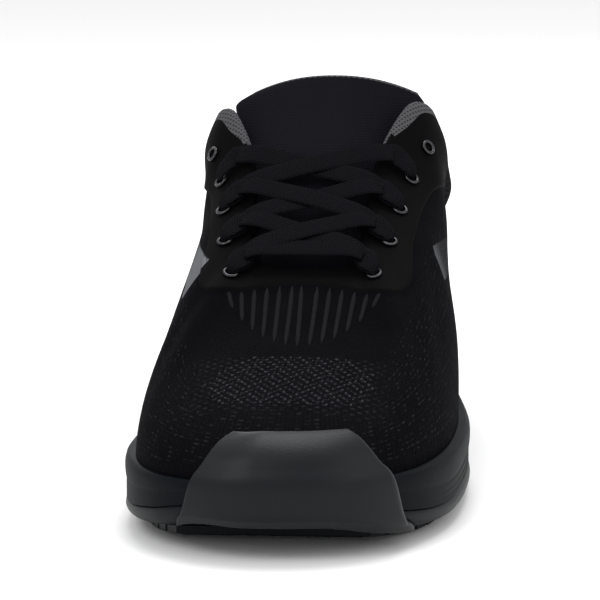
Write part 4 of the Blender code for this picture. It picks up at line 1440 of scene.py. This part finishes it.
def makeLiningFinish():
    cloth = clothFinish("greyMesh")
    here = cloth.place()
    x, y, z = cloth.axes(here)
    holes = cloth.wave(x + z * 0.9 + y * 0.7, 0.0021, 2.0) * cloth.wave(x - z * 0.9 - y * 0.6, 0.0021, 2.0)
    fuzz = cloth.noise(here, 2200.0)
    colour = cloth.colours(holes * 1.3 + (fuzz - 0.5) * 0.6, *tones["lining"])
    return cloth.use(Base_Color=colour, Normal=cloth.bump(1.0 - holes + fuzz * 0.4, 0.0006, 0.7))


def makeTongueFinish():
    cloth = clothFinish("softTongue")
    here = cloth.place()
    x, y, z = cloth.axes(here)
    weave = cloth.wave(x, 0.0009) * 0.5 + cloth.wave(z, 0.0009) * 0.5
    fuzz = cloth.noise(here, 1800.0)
    colour = cloth.colours(cloth.noise(here, 45.0, 2.0) * 0.6 + (fuzz - 0.5) * 0.7, *tones["tongue"])
    return cloth.use(Base_Color=colour, Normal=cloth.bump(weave + fuzz, 0.00025, 0.5))


def makeSmoothFinish():
    skin = Finish("smoothStrip", Specular_IOR_Level=0.05)
    here = skin.place()
    pores = skin.node("ShaderNodeTexVoronoi", None, {"Vector": here, "Scale": 1500.0})
    mottle = skin.noise(here, 120.0, 4.0)
    colour = skin.colours(mottle, *tones["strip"])
    return skin.use(Base_Color=colour, Roughness=0.56 + mottle * 0.16, Normal=skin.bump(pores, 0.0002, 0.35))


def makeWornFinish(name, tone, gloss, grain, mottle, scuffs, limits, rough, relief):
    # noises as scale, detail, roughness; limits of the scuffs and their share of the colour;
    # roughness with its shares of mottle and scuffs; distance and strength of the bump
    finish = Finish(name, Specular_IOR_Level=gloss)
    here = finish.place()
    grained, mottled = finish.noise(here, *grain), finish.noise(here, *mottle)
    scuffed = finish.step(finish.noise(here, *scuffs), *limits[:2])
    colour = finish.colours(mottled, *tones[tone])
    colour = finish.colours(scuffed * limits[2], colour, *tones["scuff"])
    dull = rough[0] + mottled * rough[1] + scuffed * rough[2]
    return finish.use(Base_Color=colour, Roughness=dull, Normal=finish.bump(grained, *relief))


def makeLaceFinish():
    cloth = clothFinish("laceWeave")
    run, aside = cloth.attribute("laceRun"), cloth.attribute("laceSide")
    chevron = cloth.wave(run + cloth.maths("ABSOLUTE", aside) * 0.9, 0.0013)
    cords = cloth.wave(aside, 0.0011)
    colour = cloth.colours(chevron * 0.6 + cords * 0.3, *tones["lace"])
    return cloth.use(Base_Color=colour, Normal=cloth.bump(chevron * 0.7 + cords * 0.5, 0.0004, 0.8))


def makeMetalFinish():
    metal = Finish("eyeletMetal", Metallic=1.0)
    scratch = metal.noise(metal.place(), 1600.0)
    colour = metal.colours(scratch, *tones["metal"])
    rough, relief = 0.16 + scratch * 0.14, metal.bump(scratch, 0.0001, 0.15)
    return metal.use(Base_Color=colour, Roughness=rough, Normal=relief)


def makePlainCloth(name, tone, scale):
    cloth = clothFinish(name)
    fuzz = cloth.noise(cloth.place(), scale)
    return cloth.use(Base_Color=cloth.colours(fuzz, *tones[tone]), Normal=cloth.bump(fuzz, 0.0002, 0.4))


def makeFloorFinish():
    floor = Finish("paleFloor", Roughness=0.75, Specular_IOR_Level=0.2)
    return floor.use(Base_Color=floor.colours(floor.noise(floor.place(), 3.0, 2.0), *tones["floor"]))


rubberLook = (
    (1100.0, 5.0), (35.0, 3.0), (260.0, 6.0, 0.75), (0.62, 0.78, 0.22), (0.36, 0.12, 0.12), (0.00016, 0.35),
)
foamLook = (
    (900.0, 4.0), (40.0, 3.0), (320.0, 5.0, 0.7), (0.60, 0.74, 0.25), (0.48, 0.14, 0.0), (0.00018, 0.4),
)
clipLook = (
    (90.0, 2.0), (40.0, 3.0), (700.0, 5.0, 0.7), (0.60, 0.75, 0.3), (0.20, 0.0, 0.20), (0.0004, 0.12),
)
liningFinish = makeLiningFinish()
smoothFinish = makeSmoothFinish()
rubberFinish = makeWornFinish("blackRubber", "rubber", 0.07, *rubberLook)
bumperFinish = makeWornFinish("bumperRubber", "rubber", 0.17, *rubberLook)
foamFinish = makeWornFinish("foamSide", "foam", 0.035, *foamLook)
clipFinish = makeWornFinish("glossClip", "clip", 0.10, *clipLook)
print("finishes done")


def place(piece, slot, *nodes):
    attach(piece, "root")
    if nodes:
        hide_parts(*nodes)


upperPiece = makeUpper([makeKnitFinish(), liningFinish])
place(upperPiece, "knit", "upper")
skinTree = BVHTree.FromObject(upperPiece, bpy.context.evaluated_depsgraph_get())
place(makeRibs(skinTree, makePlainCloth("ribCloth", "rib", 1900.0)), "knit")
place(makeNubs(skinTree, makePlainCloth("nubCloth", "nub", 2400.0)), "knit")
print("upper done")
place(makeMidsole([foamFinish]), "foam", "midsole")
place(makeOutsole([rubberFinish]), "rubber", "outsole")
place(makeTread([rubberFinish]), "rubber")
place(makeInsole([liningFinish]), "lining", "insole")
place(makeBumper([bumperFinish]), "rubber", "toe_bumper")
place(makeClip([clipFinish]), "clip", "heel_clip")
for end, strip in zip(("low", "top"), rubberParts["strips"]):
    place(makeStrip(f"strip_{end}", *strip, [smoothFinish]), "smooth", f"heel_strip_{end}")
tonguePiece = makeTongue([makeTongueFinish(), liningFinish])
place(tonguePiece, "knit", "tongue")
place(makeLabel([makePlainCloth("bareLabel", "label", 900.0)]), "lining")
print("sole, overlays and tongue done")
place(makeLace([makeLaceFinish()]), "webbing", "lace")
eyeletNodes = [f"eyelet_{which}_{row}" for which in ("inner", "outer") for row in range(1, 6)]
place(makeEyelets(makeMetalFinish()), "eyelet", *eyeletNodes)
# the dark disks in the eyelets are painted shade of the holes
place(makeEyeletHoleShade(makePlainCloth("eyeletHoleShade", "holeShade", 1500.0)), "eyelet")
place(makeStitches(makePlainCloth("stitchThread", "thread", 3000.0)), "smooth")
print("lace, eyelets and stitches done")

# Floor, lights and camera; lights: name, place, size in metres, power in watts
studio = {
    "floorSize": 6.0,
    "cameraTurn": 4.0,
    "cameraRise": 9.0,
    "distance": 1.15,
    "lens": 190.0,
    "sensor": 36.0,
    "aim": (-0.0047, 0.0, 0.062),
    "lightAim": (0.0, 0.0, 0.05),
    "lights": (
        ("keyLight", (-0.9, -1.2, 1.6), 1.0, 10.0),
        ("fillLight", (1.4, -0.6, 0.9), 1.2, 4.0),
        ("topLight", (0.1, 0.4, 1.8), 1.0, 18.0),
        ("backLight", (-0.4, 1.6, 0.8), 1.0, 5.0),
    ),
    "world": 0.98,
}


def makeFloor():
    half = studio["floorSize"] / 2.0
    mesh = bpy.data.meshes.new("floor")
    corners = [(x * half, y * half, 0.0) for x, y in ((-1, -1), (1, -1), (1, 1), (-1, 1))]
    mesh.from_pydata(corners, [], [(0, 1, 2, 3)])
    mesh.materials.append(makeFloorFinish())
    addObject("floor", mesh)


makeFloor()
for name, spot, size, power in studio["lights"]:
    lamp = bpy.data.lights.new(name, "AREA")
    lamp.shape = "DISK"
    lamp.size = size
    lamp.energy = power
    thing = addObject(name, lamp)
    thing.location = spot
    thing.rotation_euler = (Vector(studio["lightAim"]) - Vector(spot)).to_track_quat("-Z", "Y").to_euler()
world = bpy.data.worlds.new("paleRoom")
world.use_nodes = True
world.node_tree.nodes["Background"].inputs["Color"].default_value = (1.0, 1.0, 1.0, 1.0)
world.node_tree.nodes["Background"].inputs["Strength"].default_value = studio["world"]
bpy.context.scene.world = world
bpy.context.scene.view_settings.view_transform = "Standard"

camera = addObject("camera", bpy.data.cameras.new("camera"))
turn, rise = math.radians(studio["cameraTurn"]), math.radians(studio["cameraRise"])
away = Vector((math.sin(turn) * math.cos(rise), -math.cos(turn) * math.cos(rise), math.sin(rise)))
camera.location = Vector(studio["aim"]) + away * studio["distance"]
camera.rotation_euler = (-away).to_track_quat("-Z", "Y").to_euler()
camera.data.lens = studio["lens"]
camera.data.sensor_width = studio["sensor"]
bpy.context.scene.camera = camera
print("floor, lights and camera done")
